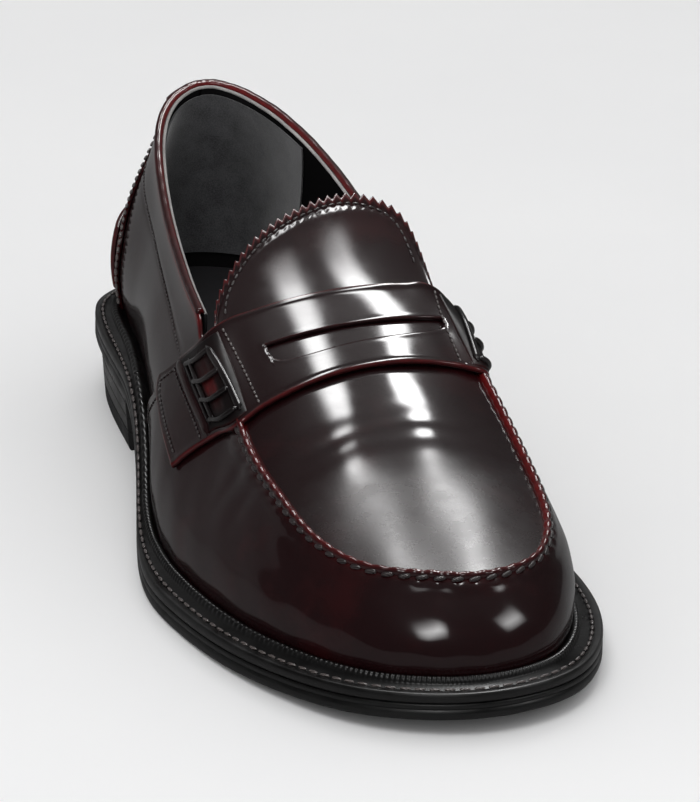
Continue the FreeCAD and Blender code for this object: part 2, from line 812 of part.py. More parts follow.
PIECES = {
    "outsole": outsole, "welt": welt, "welt_stitch": welt_stitch, "insole_rib": insole_rib,
    "insole": insole, "cork_filler": cork_filler, "shank": shank, "heel_pad": heel_pad,
    "sock_lining": sock_lining,
    "heel_nails": lambda: nail_set(NAIL_RADIUS, HEEL_NAIL_SPAN, 13.0),
    "top_piece_tacks": lambda: nail_set(TACK_RADIUS, TACK_SPAN, 8.0),
    "vamp_wall": vamp_wall, "quarter_lateral": quarter_lateral, "quarter_medial": quarter_medial,
    "backstay": backstay, "heel_patch": heel_patch, "toe_puff": toe_puff,
    "interlining_lateral": interlining_lateral, "interlining_medial": interlining_medial,
    "vamp_lining": vamp_lining, "heel_counter": heel_counter,
    "quarter_lining_lateral": quarter_lining_lateral, "quarter_lining_medial": quarter_lining_medial,
    "heel_grip": heel_grip, "collar_binding": collar_binding,
    "apron": apron, "apron_lining": apron_lining,
    "tongue": tongue, "tongue_lining": tongue_lining, "tongue_edge_stitch": tongue_edge_stitch,
    "strap": strap, "slot_backing": slot_backing, "moc_seam_thread": moc_seam_thread,
}
PIECES.update({name: (lambda level=level: heel_lift(level)) for level, name in enumerate(LIFT_NAMES)})
for stem, maker in (("beefroll", beefroll), ("beefroll_cords", beefroll_cords),
                    ("strap_stitch", strap_stitch), ("tab_stitch", tab_stitch),
                    ("collar_stitch", collar_stitch), ("vamp_edge_stitch", vamp_edge_stitch),
                    ("backstay_stitch", backstay_stitch)):
    PIECES.update(pair(stem, maker))


os.makedirs("parts", exist_ok=True)
for name, make in PIECES.items():
    make().exportStep("parts/" + name + ".step")
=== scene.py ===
import math

import bmesh
import bpy
import numpy as np
from mathutils import Matrix, Vector


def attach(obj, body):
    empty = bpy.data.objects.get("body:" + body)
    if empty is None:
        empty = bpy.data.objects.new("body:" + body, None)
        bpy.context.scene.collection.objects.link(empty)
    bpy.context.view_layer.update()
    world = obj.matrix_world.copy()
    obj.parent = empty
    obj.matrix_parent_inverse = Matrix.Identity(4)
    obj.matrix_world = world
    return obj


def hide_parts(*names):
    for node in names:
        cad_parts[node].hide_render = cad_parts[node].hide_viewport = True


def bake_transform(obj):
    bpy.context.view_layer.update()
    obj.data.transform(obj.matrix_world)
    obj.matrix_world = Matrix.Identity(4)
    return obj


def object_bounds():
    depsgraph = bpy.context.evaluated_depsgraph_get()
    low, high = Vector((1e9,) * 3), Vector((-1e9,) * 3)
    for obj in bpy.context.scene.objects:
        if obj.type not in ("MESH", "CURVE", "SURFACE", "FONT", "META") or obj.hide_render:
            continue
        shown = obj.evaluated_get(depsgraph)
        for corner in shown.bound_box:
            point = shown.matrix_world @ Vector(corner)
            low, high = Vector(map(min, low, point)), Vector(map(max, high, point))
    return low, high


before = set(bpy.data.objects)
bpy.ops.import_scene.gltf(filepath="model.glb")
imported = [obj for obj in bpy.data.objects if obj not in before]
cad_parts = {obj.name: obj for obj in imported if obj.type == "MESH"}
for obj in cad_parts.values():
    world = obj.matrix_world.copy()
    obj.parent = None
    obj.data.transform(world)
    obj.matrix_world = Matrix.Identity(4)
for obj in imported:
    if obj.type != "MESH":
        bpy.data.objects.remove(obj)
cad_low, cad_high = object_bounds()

# ---------------------------------------------------------------- shape of the last, in shoe millimetres
# The shoe's own length fixes the scale: every place below is worked out from the frame's box.
SOLE_LENGTH = 296.0
HEEL_CENTRE = 36.0
MM = (cad_high[1] - cad_low[1]) / SOLE_LENGTH
HEEL_BACK_Y = cad_high[1]

HEEL_HEIGHT = 20.4
TOE_SPRING = 5.0
BALL_ALONG = 183.0
HEEL_BREAST = 76.0
OUTSOLE_THICK = 5.0
WELT_THICK = 3.1
WELT_TOP = OUTSOLE_THICK + WELT_THICK
TOP_MIDDLE = 5.0
CROWN_START = 105.0
CROWN_STEP = 15.0

# stations round the shoe: sole edge (along, across), rim (along, across, height)
STATIONS = [
    ((0, 1), (9, 6, 96)), ((9, -22), (14.5, -6, 92.5)), ((27, -32.5), (32, -15, 85.5)),
    ((59, -36.5), (61, -21.5, 77)), ((98, -40), (91, -26, 71)), ((137, -49), (121, -29.5, 67)),
    ((160, -55), (146, -30.5, 63)), ((183, -59), (172, -30.5, 55)), ((206, -58), (197, -32, 48)),
    ((235, -52), (222, -30.5, 42.5)), ((260, -42), (243, -27, 39)), ((280, -28.5), (261, -17.5, 36.5)),
    ((292, -11), (270, -3, 36)), ((296, 6), (273, 8, 36.5)), ((293, 23), (271, 20, 37.5)),
    ((282, 39), (263, 31, 38.5)), ((259, 52), (247, 39, 41)), ((230, 58.5), (226, 42.5, 44)),
    ((202, 58.5), (200, 44, 49.5)), ((180, 53.5), (176, 43.5, 58)), ((157, 45), (150, 41.5, 66)),
    ((132, 37), (121, 40, 71)), ((98, 34), (91, 38, 77.5)), ((59, 37.5), (60, 35.5, 84)),
    ((27, 35.5), (31, 29, 90.5)), ((9, 25), (13.5, 18, 95)),
]
TURNS = len(STATIONS)
SIDES = ((1, "lateral"), (-1, "medial"))
CROWN = [107, 95, 82.8, 72, 65.3, 60.4, 56.2, 52.6, 49.2, 45.6, 41.6, 37, 31.5]
TONGUE_EDGE = [(149.6, -28.5), (140, -25.5), (132, -17), (126.5, -7), (123, 5), (121, 18),
               (123, 30.5), (131, 37.5), (149.6, 39)]


def spline(values, closed=False):
    """Cubic spline through values at 0, 1, 2...; returns a function of an array of places."""
    values = np.array(values, float)
    count = len(values)
    system, pull = 4 * np.eye(count), np.zeros(values.shape)
    for i in range(count):
        if closed or 0 < i < count - 1:
            before, after = (i - 1) % count, (i + 1) % count
            system[i, before] += 1
            system[i, after] += 1
            pull[i] = 6 * (values[before] - 2 * values[i] + values[after])
    bend = np.linalg.solve(system, pull.reshape(count, -1)).reshape(values.shape)

    def value(place):
        place = np.asarray(place, float)
        i = np.floor(place).astype(int)
        if not closed:
            i = np.clip(i, 0, count - 2)
        far = (place - i).reshape(place.shape + (1,) * (values.ndim - 1))
        near = 1 - far
        a, b = i % count, (i + 1) % count
        arch = (near ** 3 - near) * bend[a] + (far ** 3 - far) * bend[b]
        return near * values[a] + far * values[b] + arch / 6
    return value


def smooth(low, high, x):
    f = np.clip((x - low) / (high - low), 0, 1)
    return f * f * (3 - 2 * f)


def mix(a, b, f):
    return a + (b - a) * f


def stack(x, y, z):
    return np.stack(np.broadcast_arrays(x, y, z), -1).astype(float)


def unit(v):
    return v / np.maximum(np.linalg.norm(v, axis=-1, keepdims=True), 1e-12)


def place(along, across, height):
    """Points from distances along the shoe from its heel, across it and up."""
    return stack(across, HEEL_CENTRE - np.asarray(along, float), height)


def upright(points):
    """An upward unit vector for each point."""
    return np.broadcast_to([0.0, 0.0, 1.0], points.shape)


sole_along = spline([s[0][0] for s in STATIONS], closed=True)
sole_across = spline([s[0][1] for s in STATIONS], closed=True)
rim_along = spline([s[1][0] for s in STATIONS], closed=True)
rim_across = spline([s[1][1] for s in STATIONS], closed=True)
rim_height = spline([s[1][2] for s in STATIONS], closed=True)
crown_height = spline(CROWN)
tongue_along = spline([p[0] for p in TONGUE_EDGE])
tongue_across = spline([p[1] for p in TONGUE_EDGE])


def sole_bottom(along):
    """Height of the outsole's underside: level heel seat, waist, tread line, toe spring."""
    along = np.asarray(along, float)
    spring = np.maximum(along - BALL_ALONG, 0) / (SOLE_LENGTH - BALL_ALONG)
    return HEEL_HEIGHT * (1 - smooth(80, 168, along)) + TOE_SPRING * spring ** 2


def outward(turn):
    """Unit normal of the sole edge in plan, as (along, across)."""
    step = 0.01
    d_along = sole_along(turn + step) - sole_along(turn - step)
    d_across = sole_across(turn + step) - sole_across(turn - step)
    length = np.hypot(d_along, d_across)
    return d_across / length, -d_along / length


def welt_width(turn):
    """How far the welt stands out past the upper, narrowest at the waist."""
    along = sole_along(turn)
    rear = mix(8.5, 5.0, smooth(50, 100, along))
    return mix(rear, 9.8, smooth(140, 200, along))


def plan_point(turn, inset):
    """Sole edge in plan, moved inwards, as (along, across)."""
    n_along, n_across = outward(turn)
    return sole_along(turn) - n_along * inset, sole_across(turn) - n_across * inset


def top_height(along, across):
    """Height of the cambered top surface over the forefoot and instep."""
    tilt = mix(0.09, 0.025, smooth(150, 225, along))
    camber = mix(0.0042, 0.0056, smooth(150, 187, along))
    off = across - TOP_MIDDLE
    return crown_height((along - CROWN_START) / CROWN_STEP) + tilt * off - camber * off * off


def top_spot(along, across):
    """Point and normal on the apron and tongue surface."""
    step = 0.5
    slope_along = top_height(along + step, across) - top_height(along - step, across)
    slope_across = top_height(along, across + step) - top_height(along, across - step)
    return place(along, across, top_height(along, across)), unit(stack(-slope_across, slope_along, 1.0))


def rim_point(turn):
    """Upper edge of the wall: the top line behind, the apron's seam in front."""
    turn = np.asarray(turn, float) % TURNS
    along, across = rim_along(turn), rim_across(turn)
    seam = smooth(5.5, 7.5, turn) * (1 - smooth(18.5, 20.5, turn))
    return place(along, across, mix(rim_height(turn), top_height(along, across), seam))


def wall_middle(turn, rise):
    """Master wall surface, curved from the welt (rise 0) to the rim (rise 1)."""
    along, across = plan_point(turn, welt_width(turn))
    foot = place(along, across, sole_bottom(along) + WELT_TOP + 0.35)
    rim = rim_point(turn)
    n_along, n_across = outward(turn)
    out = stack(n_across, -n_along, 0.0)
    up = stack(0.0, 0.0, rim[..., 2] - foot[..., 2])
    toe = smooth(150, 235, rim_along(turn))[..., None]
    heel = 1 - smooth(15, 60, rim_along(turn))[..., None]
    low = foot + out * mix(3.0, 7.0, heel) + up * mix(0.42, 0.5, toe)
    high = rim + out * mix(1.0 + 3.0 * heel, 6.0, toe) - up * mix(0.38, 0.25, toe)
    rise = np.asarray(rise, float)[..., None]
    back = 1 - rise
    return (foot * back ** 3 + low * (3 * back * back * rise)
            + high * (3 * back * rise * rise) + rim * rise ** 3)


def wall_spot(turn, rise):
    """Point and outward normal on the master wall."""
    step = 0.01
    turn, rise = np.broadcast_arrays(np.asarray(turn, float), np.asarray(rise, float))
    below, above = np.clip(rise - step, 0, 1), np.clip(rise + step, 0, 1)
    along_wall = wall_middle(turn + step, rise) - wall_middle(turn - step, rise)
    up_wall = wall_middle(turn, above) - wall_middle(turn, below)
    return wall_middle(turn, rise), unit(np.cross(along_wall, up_wall))


# ---------------------------------------------------------------- mesh builders
def to_frame(points):
    """Shoe millimetres to the frame's metres."""
    moved = np.asarray(points, float).reshape(-1, 3).copy()
    moved[:, 1] -= HEEL_CENTRE
    moved *= MM
    moved[:, 1] += HEEL_BACK_Y
    return moved


def make_piece(name, points, faces, material, body="shoe", replaces=(), slot=None, wear=None):
    """Piece of the shoe from points in shoe millimetres; wear is a 0..1 value per point."""
    mesh = bpy.data.meshes.new(name)
    mesh.from_pydata(to_frame(points).tolist(), [], [list(map(int, f)) for f in faces])
    if wear is not None:
        attribute = mesh.attributes.new("wear", "FLOAT", "POINT")
        attribute.data.foreach_set("value", np.asarray(wear, np.float32).ravel())
    shaped = bmesh.new()
    shaped.from_mesh(mesh)
    loose = [v for v in shaped.verts if not v.link_faces]
    bmesh.ops.delete(shaped, geom=loose, context="VERTS")
    bmesh.ops.recalc_face_normals(shaped, faces=shaped.faces)
    shaped.to_mesh(mesh)
    shaped.free()
    mesh.shade_smooth()
    mesh.materials.append(material)
    piece = bpy.data.objects.new(name, mesh)
    bpy.context.scene.collection.objects.link(piece)
    if body:
        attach(piece, body)
    if replaces:
        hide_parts(*replaces)
    return piece


def quads(index, keep=None):
    """Faces between neighbouring rows and columns of point numbers."""
    faces = np.stack([index[:-1, :-1], index[1:, :-1], index[1:, 1:], index[:-1, 1:]], -1)
    return (faces if keep is None else faces[keep]).reshape(-1, 4)


def tube_faces(rings, sides, closed):
    """Faces of a tube of rings; an open tube gets flat ends."""
    index = np.arange(rings * sides).reshape(rings, sides)
    index = np.hstack([index, index[:, :1]])
    if closed:
        index = np.vstack([index, index[:1]])
    faces = quads(index).tolist()
    if not closed:
        faces += [index[0, :-1].tolist(), index[-1, :-1].tolist()]
    return faces


def edge_steps(count, length, radius, low=True, high=True):
    """0..1 steps, packed close together near the edges that get rounded."""
    near = np.array([0.0, 0.07, 0.28, 0.6, 1.0]) * radius / length
    start = near if low else np.array([0.0])
    end = 1 - near[::-1] if high else np.array([1.0])
    middle = np.linspace(start[-1], end[0], count)[1:-1]
    return np.concatenate([start, middle, end])


def edge_distance(points, sides):
    """Distance in mm of each grid point from the named sides: l r along the first index, b t the second."""
    first = np.linalg.norm(np.diff(points, axis=0), axis=-1)
    second = np.linalg.norm(np.diff(points, axis=1), axis=-1)
    from_left = np.vstack([np.zeros((1, points.shape[1])), np.cumsum(first, 0)])
    from_base = np.hstack([np.zeros((points.shape[0], 1)), np.cumsum(second, 1)])
    far = np.full(points.shape[:2], 1e3)
    if "l" in sides:
        far = np.minimum(far, from_left)
    if "r" in sides:
        far = np.minimum(far, from_left[-1:] - from_left)
    if "b" in sides:
        far = np.minimum(far, from_base)
    if "t" in sides:
        far = np.minimum(far, from_base[:, -1:] - from_base)
    return far


def rounding(distance, radius):
    """How far a rounded edge drops below its sheet's face."""
    inside = np.clip(radius - distance, 0, radius)
    return radius - np.sqrt(np.maximum(radius ** 2 - inside ** 2, 0))


def sheet(name, points, normals, top, thick, material, sides="lrbt", radius=0.5, relief=0.0,
          index=None, keep=None, distance=None, worn=1.6, worn_sides=None, extra_wear=0.0, **options):
    """Closed leather sheet over a grid of points, with rounded edges and a wear mask along them."""
    if distance is None:
        distance = edge_distance(points, sides)
    edge = edge_distance(points, worn_sides) if worn_sides is not None else distance
    lift = top - rounding(distance, radius) + relief
    outer = points + normals * lift[..., None]
    inner = points + normals * (top - thick)
    count = points.shape[0] * points.shape[1]
    if index is None:
        index = np.arange(count).reshape(points.shape[:2])
    front = quads(index, keep)
    loops = np.concatenate([front[:, [k, (k + 1) % 4]] for k in range(4)])
    seen = set(map(tuple, loops.tolist()))
    rim = [pair for pair in loops.tolist() if (pair[1], pair[0]) not in seen]
    walls = [[b, a, a + count, b + count] for a, b in rim]
    faces = front.tolist() + (front[:, ::-1] + count).tolist() + walls
    wear = np.clip(0.8 * np.exp(-((edge - 0.45 * worn) / (0.45 * worn)) ** 2) + extra_wear, 0, 1)
    wear = np.broadcast_to(wear, points.shape[:2]).ravel()
    wear = np.concatenate([wear, 0 * wear])
    return make_piece(name, np.concatenate([outer.reshape(-1, 3), inner.reshape(-1, 3)]),
                      faces, material, wear=wear, **options)


def stitch_row(name, points, normals, material, pitch=2.6, gap=0.28, radius=0.42, sink=0.1,
               slant=0.0, flat=0.8, **options):
    """Row of separate stitches along a line of points with normals."""
    points, normals = np.asarray(points), np.asarray(normals)
    run = np.concatenate([[0], np.cumsum(np.linalg.norm(np.diff(points, axis=0), axis=1))])
    count = max(int(run[-1] / pitch), 1)
    places = (np.arange(count) + 0.5) * run[-1] / count
    half = run[-1] / count * (1 - gap) / 2

    def at(values, where):
        return np.stack([np.interp(where, run, values[:, k]) for k in range(3)], -1)

    centre, normal = at(points, places), unit(at(normals, places))
    ahead = unit(at(points, places + 0.3) - at(points, places - 0.3))
    side = np.cross(normal, ahead)
    ahead = unit(ahead + side * slant)
    side = np.cross(normal, ahead)
    rings, sides = 7, 8
    verts, faces = [], []
    ring_angle = np.linspace(0.12, math.pi - 0.12, rings)
    turn_angle = np.arange(sides) * 2 * math.pi / sides
    for i in range(count):
        lengthwise = -np.cos(ring_angle)[:, None, None] * ahead[i] * half
        girth = (np.sin(ring_angle) ** 0.6)[:, None, None] * radius
        around = (np.cos(turn_angle)[None, :, None] * side[i]
                  + np.sin(turn_angle)[None, :, None] * normal[i] * flat)
        body = centre[i] + normal[i] * (radius * flat - sink) + lengthwise + girth * around
        start = len(verts) * rings * sides
        faces += [[v + start for v in f] for f in tube_faces(rings, sides, closed=False)]
        verts.append(body.reshape(-1, 3))
    return make_piece(name, np.concatenate(verts), faces, material, **options)


def swept(name, centre, across, up, profile, material, closed=False, scale=None, wear=None, **options):
    """Tube whose section is profile (across, up) pairs, carried along centre points."""
    profile = np.asarray(profile, float)
    size = np.ones(len(centre)) if scale is None else scale
    rings = (centre[:, None] + across[:, None] * profile[None, :, :1] * size[:, None, None]
             + up[:, None] * profile[None, :, 1:] * size[:, None, None])
    mask = None if wear is None else np.broadcast_to(np.asarray(wear, float), rings.shape[:2])
    faces = tube_faces(len(centre), len(profile), closed)
    return make_piece(name, rings.reshape(-1, 3), faces, material, wear=mask, **options)


def oval(half_width, half_height, sides=14, lift=0.0):
    """Oval section for a swept tube."""
    angle = np.arange(sides) * 2 * math.pi / sides
    return np.stack([half_width * np.cos(angle), half_height * np.sin(angle) + lift], -1)


# ---------------------------------------------------------------- materials
def srgb(red, green, blue):
    """Screen colour 0..255 to the linear colour a shader takes."""
    values = [c / 255 for c in (red, green, blue)]
    return [c / 12.92 if c < 0.04045 else ((c + 0.055) / 1.055) ** 2.4 for c in values] + [1.0]


def node(tree, kind, inputs=None, **settings):
    """New shader node; its inputs are values or other nodes' outputs."""
    made = tree.nodes.new(kind)
    for key, value in settings.items():
        setattr(made, key, value)
    for key, value in (inputs or {}).items():
        if isinstance(value, bpy.types.NodeSocket):
            tree.links.new(value, made.inputs[key])
        else:
            made.inputs[key].default_value = value
    return made


def blank(name, **values):
    """New principled material; returns it with its tree, shader and object coordinates."""
    material = bpy.data.materials.new(name)
    material.use_nodes = True
    tree = material.node_tree
    shader = tree.nodes["Principled BSDF"]
    for key, value in values.items():
        shader.inputs[key.replace("_", " ")].default_value = value
    where = node(tree, "ShaderNodeTexCoord").outputs["Object"]
    return material, tree, shader, where


def noise(tree, where, scale, detail=3.0, roughness=0.55):
    return node(tree, "ShaderNodeTexNoise", {"Vector": where, "Scale": scale, "Detail": detail,
                                             "Roughness": roughness}).outputs["Fac"]


def ramp(tree, value, low, high, to_low=0.0, to_high=1.0):
    inputs = {"Value": value, "From Min": low, "From Max": high, "To Min": to_low, "To Max": to_high}
    return node(tree, "ShaderNodeMapRange", inputs).outputs["Result"]


def calc(tree, operation, a, b):
    return node(tree, "ShaderNodeMath", {0: a, 1: b}, operation=operation).outputs[0]


def blend_colour(tree, factor, a, b):
    mixer = node(tree, "ShaderNodeMix", {0: factor, 6: a, 7: b}, data_type="RGBA")
    return mixer.outputs[2]


def paint(tree, shader, factor, a, b):
    """Base colour that runs from one colour to another with a factor."""
    tree.links.new(blend_colour(tree, factor, a, b), shader.inputs["Base Color"])


def stretched(tree, where, scale):
    return node(tree, "ShaderNodeMapping", {"Vector": where, "Scale": scale}).outputs[0]


def bump(tree, shader, height, strength, distance):
    made = node(tree, "ShaderNodeBump", {"Height": height, "Strength": strength, "Distance": distance})
    tree.links.new(made.outputs["Normal"], shader.inputs["Normal"])


# places along the shoe between which the apron's polish turns hazy
HAZE_SPAN = (213.0, 230.0)


def leather(name, dark, worn, gloss=0.085, clouds=0.16, grain=0.06, coat=0.85, toe_haze=0.0):
    """Polished leather, brushed off to its under-colour along edges and in soft clouds."""
    material, tree, shader, where = blank(name, Coat_Weight=coat)
    shader.inputs["Specular IOR Level"].default_value = 0.06
    wear = node(tree, "ShaderNodeAttribute", attribute_name="wear").outputs["Fac"]
    soft = ramp(tree, noise(tree, where, 38.0, 4.0), 0.52, 0.8)
    scuff = ramp(tree, noise(tree, where, 420.0, 5.0), 0.35, 0.7, 0.55, 1.1)
    rub = calc(tree, "MULTIPLY", wear, scuff)
    total = calc(tree, "ADD", rub, calc(tree, "MULTIPLY", soft, clouds))
    amount = node(tree, "ShaderNodeClamp", {0: total})
    paint(tree, shader, amount.outputs[0], dark, worn)
    smear = noise(tree, where, 90.0, 5.0, 0.65)
    along = node(tree, "ShaderNodeSeparateXYZ", {0: where}).outputs["Y"]
    start, end = [HEEL_BACK_Y - distance * MM for distance in HAZE_SPAN]
    haze = ramp(tree, along, start, end, 0.0, toe_haze)
    mirror = calc(tree, "ADD", ramp(tree, smear, 0.3, 0.75, gloss * 0.8, gloss * 1.6), haze)
    tree.links.new(mirror, shader.inputs["Coat Roughness"])
    tree.links.new(ramp(tree, smear, 0.3, 0.75, 0.3 + gloss, 0.4 + gloss), shader.inputs["Roughness"])
    cells = node(tree, "ShaderNodeTexVoronoi", {"Vector": where, "Scale": 2200.0},
                 feature="DISTANCE_TO_EDGE").outputs["Distance"]
    pores = calc(tree, "ADD", ramp(tree, cells, 0.0, 0.25), noise(tree, where, 3600.0, 2.0))
    height = calc(tree, "ADD", pores, calc(tree, "MULTIPLY", noise(tree, where, 160.0, 3.0), 2.0))
    bump(tree, shader, height, grain, 0.00022)
    return material


def napped(name, low, high, scale=2600.0):
    """Suede, cotton or foam, and the pale line painted as the lining edge's highlight: no gloss, a fuzzy
    sheen and a fine nap.
    """
    material, tree, shader, where = blank(name, Roughness=0.95, Sheen_Weight=0.5, Sheen_Roughness=0.5)
    shader.inputs["Specular IOR Level"].default_value = 0.2
    brushed = calc(tree, "ADD", calc(tree, "MULTIPLY", noise(tree, where, scale, 4.0), 0.6),
                   calc(tree, "MULTIPLY", noise(tree, where, 120.0, 3.0), 0.4))
    paint(tree, shader, ramp(tree, brushed, 0.35, 0.65), low, high)
    bump(tree, shader, brushed, 0.6, 0.0003)
    return material


def twisted(name, colour, light, pitch=900.0, gloss=0.35):
    """Waxed thread: strands twisted round each other."""
    material, tree, shader, where = blank(name, Roughness=gloss, Coat_Weight=0.2)
    wave = node(tree, "ShaderNodeTexWave", {"Vector": where, "Scale": pitch, "Distortion": 1.5},
                bands_direction="DIAGONAL").outputs["Fac"]
    paint(tree, shader, wave, colour, light)
    bump(tree, shader, wave, 0.5, 0.0002)
    return material


def waxed_edge(name, colour, light, gloss=0.3, layers=0.0):
    """Trimmed edge of stacked leather or rubber: fine level lines under a wax polish."""
    material, tree, shader, where = blank(name, Coat_Weight=0.08, Coat_Roughness=0.25)
    lines = noise(tree, stretched(tree, where, (0.08, 0.08, 1.0)), 1800.0, 4.0)
    patches = noise(tree, where, 110.0, 4.0)
    shares = [calc(tree, "MULTIPLY", lines, 0.5 + layers), calc(tree, "MULTIPLY", patches, 0.5)]
    paint(tree, shader, ramp(tree, calc(tree, "ADD", *shares), 0.4, 0.8), colour, light)
    tree.links.new(ramp(tree, patches, 0.3, 0.75, gloss * 0.8, gloss * 1.5), shader.inputs["Roughness"])
    fine = calc(tree, "ADD", lines, noise(tree, where, 2400.0, 3.0))
    bump(tree, shader, fine, 0.06, 0.0002)
    return material


def speckled(name, low, high, scale, roughness):
    """Granular or fibrous filler, such as cork paste or fibre board."""
    material, tree, shader, where = blank(name, Roughness=roughness)
    grains = node(tree, "ShaderNodeTexVoronoi", {"Vector": where, "Scale": scale}).outputs["Color"]
    tone = node(tree, "ShaderNodeRGBToBW", {0: grains}).outputs[0]
    paint(tree, shader, tone, low, high)
    bump(tree, shader, tone, 0.4, 0.0004)
    return material


def bare_steel(name):
    """Steel with fine scratches along the shoe."""
    material, tree, shader, where = blank(name, Metallic=1.0)
    scratches = noise(tree, stretched(tree, where, (1.0, 0.03, 1.0)), 3000.0, 3.0)
    tree.links.new(ramp(tree, scratches, 0.3, 0.7, 0.25, 0.5), shader.inputs["Roughness"])
    paint(tree, shader, scratches, srgb(120, 122, 125), srgb(175, 177, 180))
    return material


DARK_BURGUNDY = srgb(27, 7, 9)
BRUSHED_RED = srgb(88, 14, 16)
UPPER = leather("upper_leather", DARK_BURGUNDY, BRUSHED_RED)
APRON_LEATHER = leather("apron_leather", DARK_BURGUNDY, BRUSHED_RED, toe_haze=0.17)
LIP_RED = leather("seam_lip_leather", srgb(34, 9, 11), srgb(100, 17, 18), clouds=0.2)
WINDOW_RED = leather("roll_window_leather", srgb(16, 8, 9), srgb(84, 10, 12), gloss=0.3, coat=0.3)
BINDING = leather("collar_binding_leather", srgb(44, 13, 15), srgb(104, 20, 22), gloss=0.14, clouds=0.3)
CORD = leather("roll_cord_leather", srgb(20, 16, 17), srgb(70, 62, 62), gloss=0.12, clouds=0.3, coat=0.8)
LINING = leather("lining_leather", srgb(16, 15, 16), srgb(34, 32, 34), gloss=0.5, clouds=0.5, coat=0.0)
SUEDE = napped("heel_suede", srgb(40, 40, 42), srgb(78, 78, 80))
# pale grey colour of a painted highlight along the lining's top edge
PAINTED_EDGE_HIGHLIGHT = napped("lining_bead_felt", srgb(110, 108, 108), srgb(190, 187, 184), 5000.0)
THREAD = twisted("waxed_thread", srgb(18, 14, 15), srgb(62, 54, 54))
PALE_THREAD = twisted("edge_thread", srgb(38, 33, 33), srgb(112, 104, 102))
OUTSOLE = waxed_edge("outsole_black", srgb(7, 7, 7), srgb(20, 20, 20), 0.36)
WELT = waxed_edge("welt_black", srgb(8, 7, 7), srgb(22, 21, 21), 0.33)
STACK = waxed_edge("heel_stack_black", srgb(9, 8, 8), srgb(24, 22, 22), 0.3, 0.4)
RUBBER = waxed_edge("top_piece_rubber", srgb(16, 16, 17), srgb(34, 34, 35), 0.6)
SOCK = leather("sock_leather", srgb(38, 37, 39), srgb(72, 70, 72), gloss=0.5, clouds=0.5, coat=0.0)
FOAM = napped("heel_pad_foam", srgb(150, 146, 138), srgb(190, 186, 176))
COTTON = napped("interlining_cotton", srgb(196, 190, 178), srgb(224, 219, 208), 4000.0)
BOARD = speckled("stiffener_board", srgb(150, 134, 108), srgb(182, 168, 140), 1800.0, 0.85)
TAN = leather("insole_leather", srgb(150, 108, 72), srgb(182, 140, 100), gloss=0.6, clouds=0.6, coat=0.0)
CORK = speckled("cork_paste", srgb(92, 60, 36), srgb(168, 122, 80), 700.0, 0.9)
STEEL = bare_steel("bare_steel")


# ---------------------------------------------------------------- sole
def sole_ring(turns, inset, level):
    """Ring of points inside the sole's edge, at a level over its underside."""
    along, across = plan_point(turns, inset)
    return place(along, across, sole_bottom(along) + level)


def spine_fill(ring, level, fractions):
    """Rings that draw in from the sole's edge to its middle line, over the sole's underside."""
    along = HEEL_CENTRE - ring[:, 1]
    across = ring[:, 0]
    middle_along = np.clip(along, 30.0, SOLE_LENGTH - 38.0)
    middle_across = 2.0 + 2.5 * smooth(60, 160, middle_along) + 4.0 * smooth(200, 260, middle_along)
    rings = []
    for w in fractions:
        in_along, in_across = mix(along, middle_along, w), mix(across, middle_across, w)
        rings.append(place(in_along, in_across, sole_bottom(in_along) + level))
    return rings


def ring_stack(name, rings, material, **options):
    """Closed solid from rings of points, the first and last of which lie on a line."""
    index = np.arange(len(rings) * len(rings[0])).reshape(len(rings), -1)
    index = np.hstack([index, index[:, :1]])
    piece = make_piece(name, np.concatenate(rings), quads(index), material, **options)
    shaped = bmesh.new()
    shaped.from_mesh(piece.data)
    bmesh.ops.remove_doubles(shaped, verts=shaped.verts, dist=0.00005)
    bmesh.ops.recalc_face_normals(shaped, faces=shaped.faces)
    shaped.to_mesh(piece.data)
    shaped.free()
    piece.data.shade_smooth()
    return piece


def make_outsole():
    """Outsole with a trimmed edge, a thin line a third of the way down it and a flat tread."""
    turns = np.arange(720) * TURNS / 720
    section = [(5.0, 0.0), (1.2, 0.0), (0.35, 0.3), (0.0, 1.1), (0.0, 3.1), (0.25, 3.2), (0.25, 3.45),
               (0.0, 3.55), (0.05, 4.6), (0.4, OUTSOLE_THICK), (3.0, OUTSOLE_THICK)]
    rings = [sole_ring(turns, inset, level) for inset, level in section]
    inner = (1.0, 0.8, 0.6, 0.45, 0.3, 0.15)
    under = spine_fill(rings[0], 0.0, inner)
    over = spine_fill(rings[-1], OUTSOLE_THICK, inner[::-1])
    ring_stack("outsole_edge_and_tread", under + rings + over, OUTSOLE, replaces=["outsole"], slot="outsole")


KNURLS = 330
RIDGE_WIDTH = 3.6


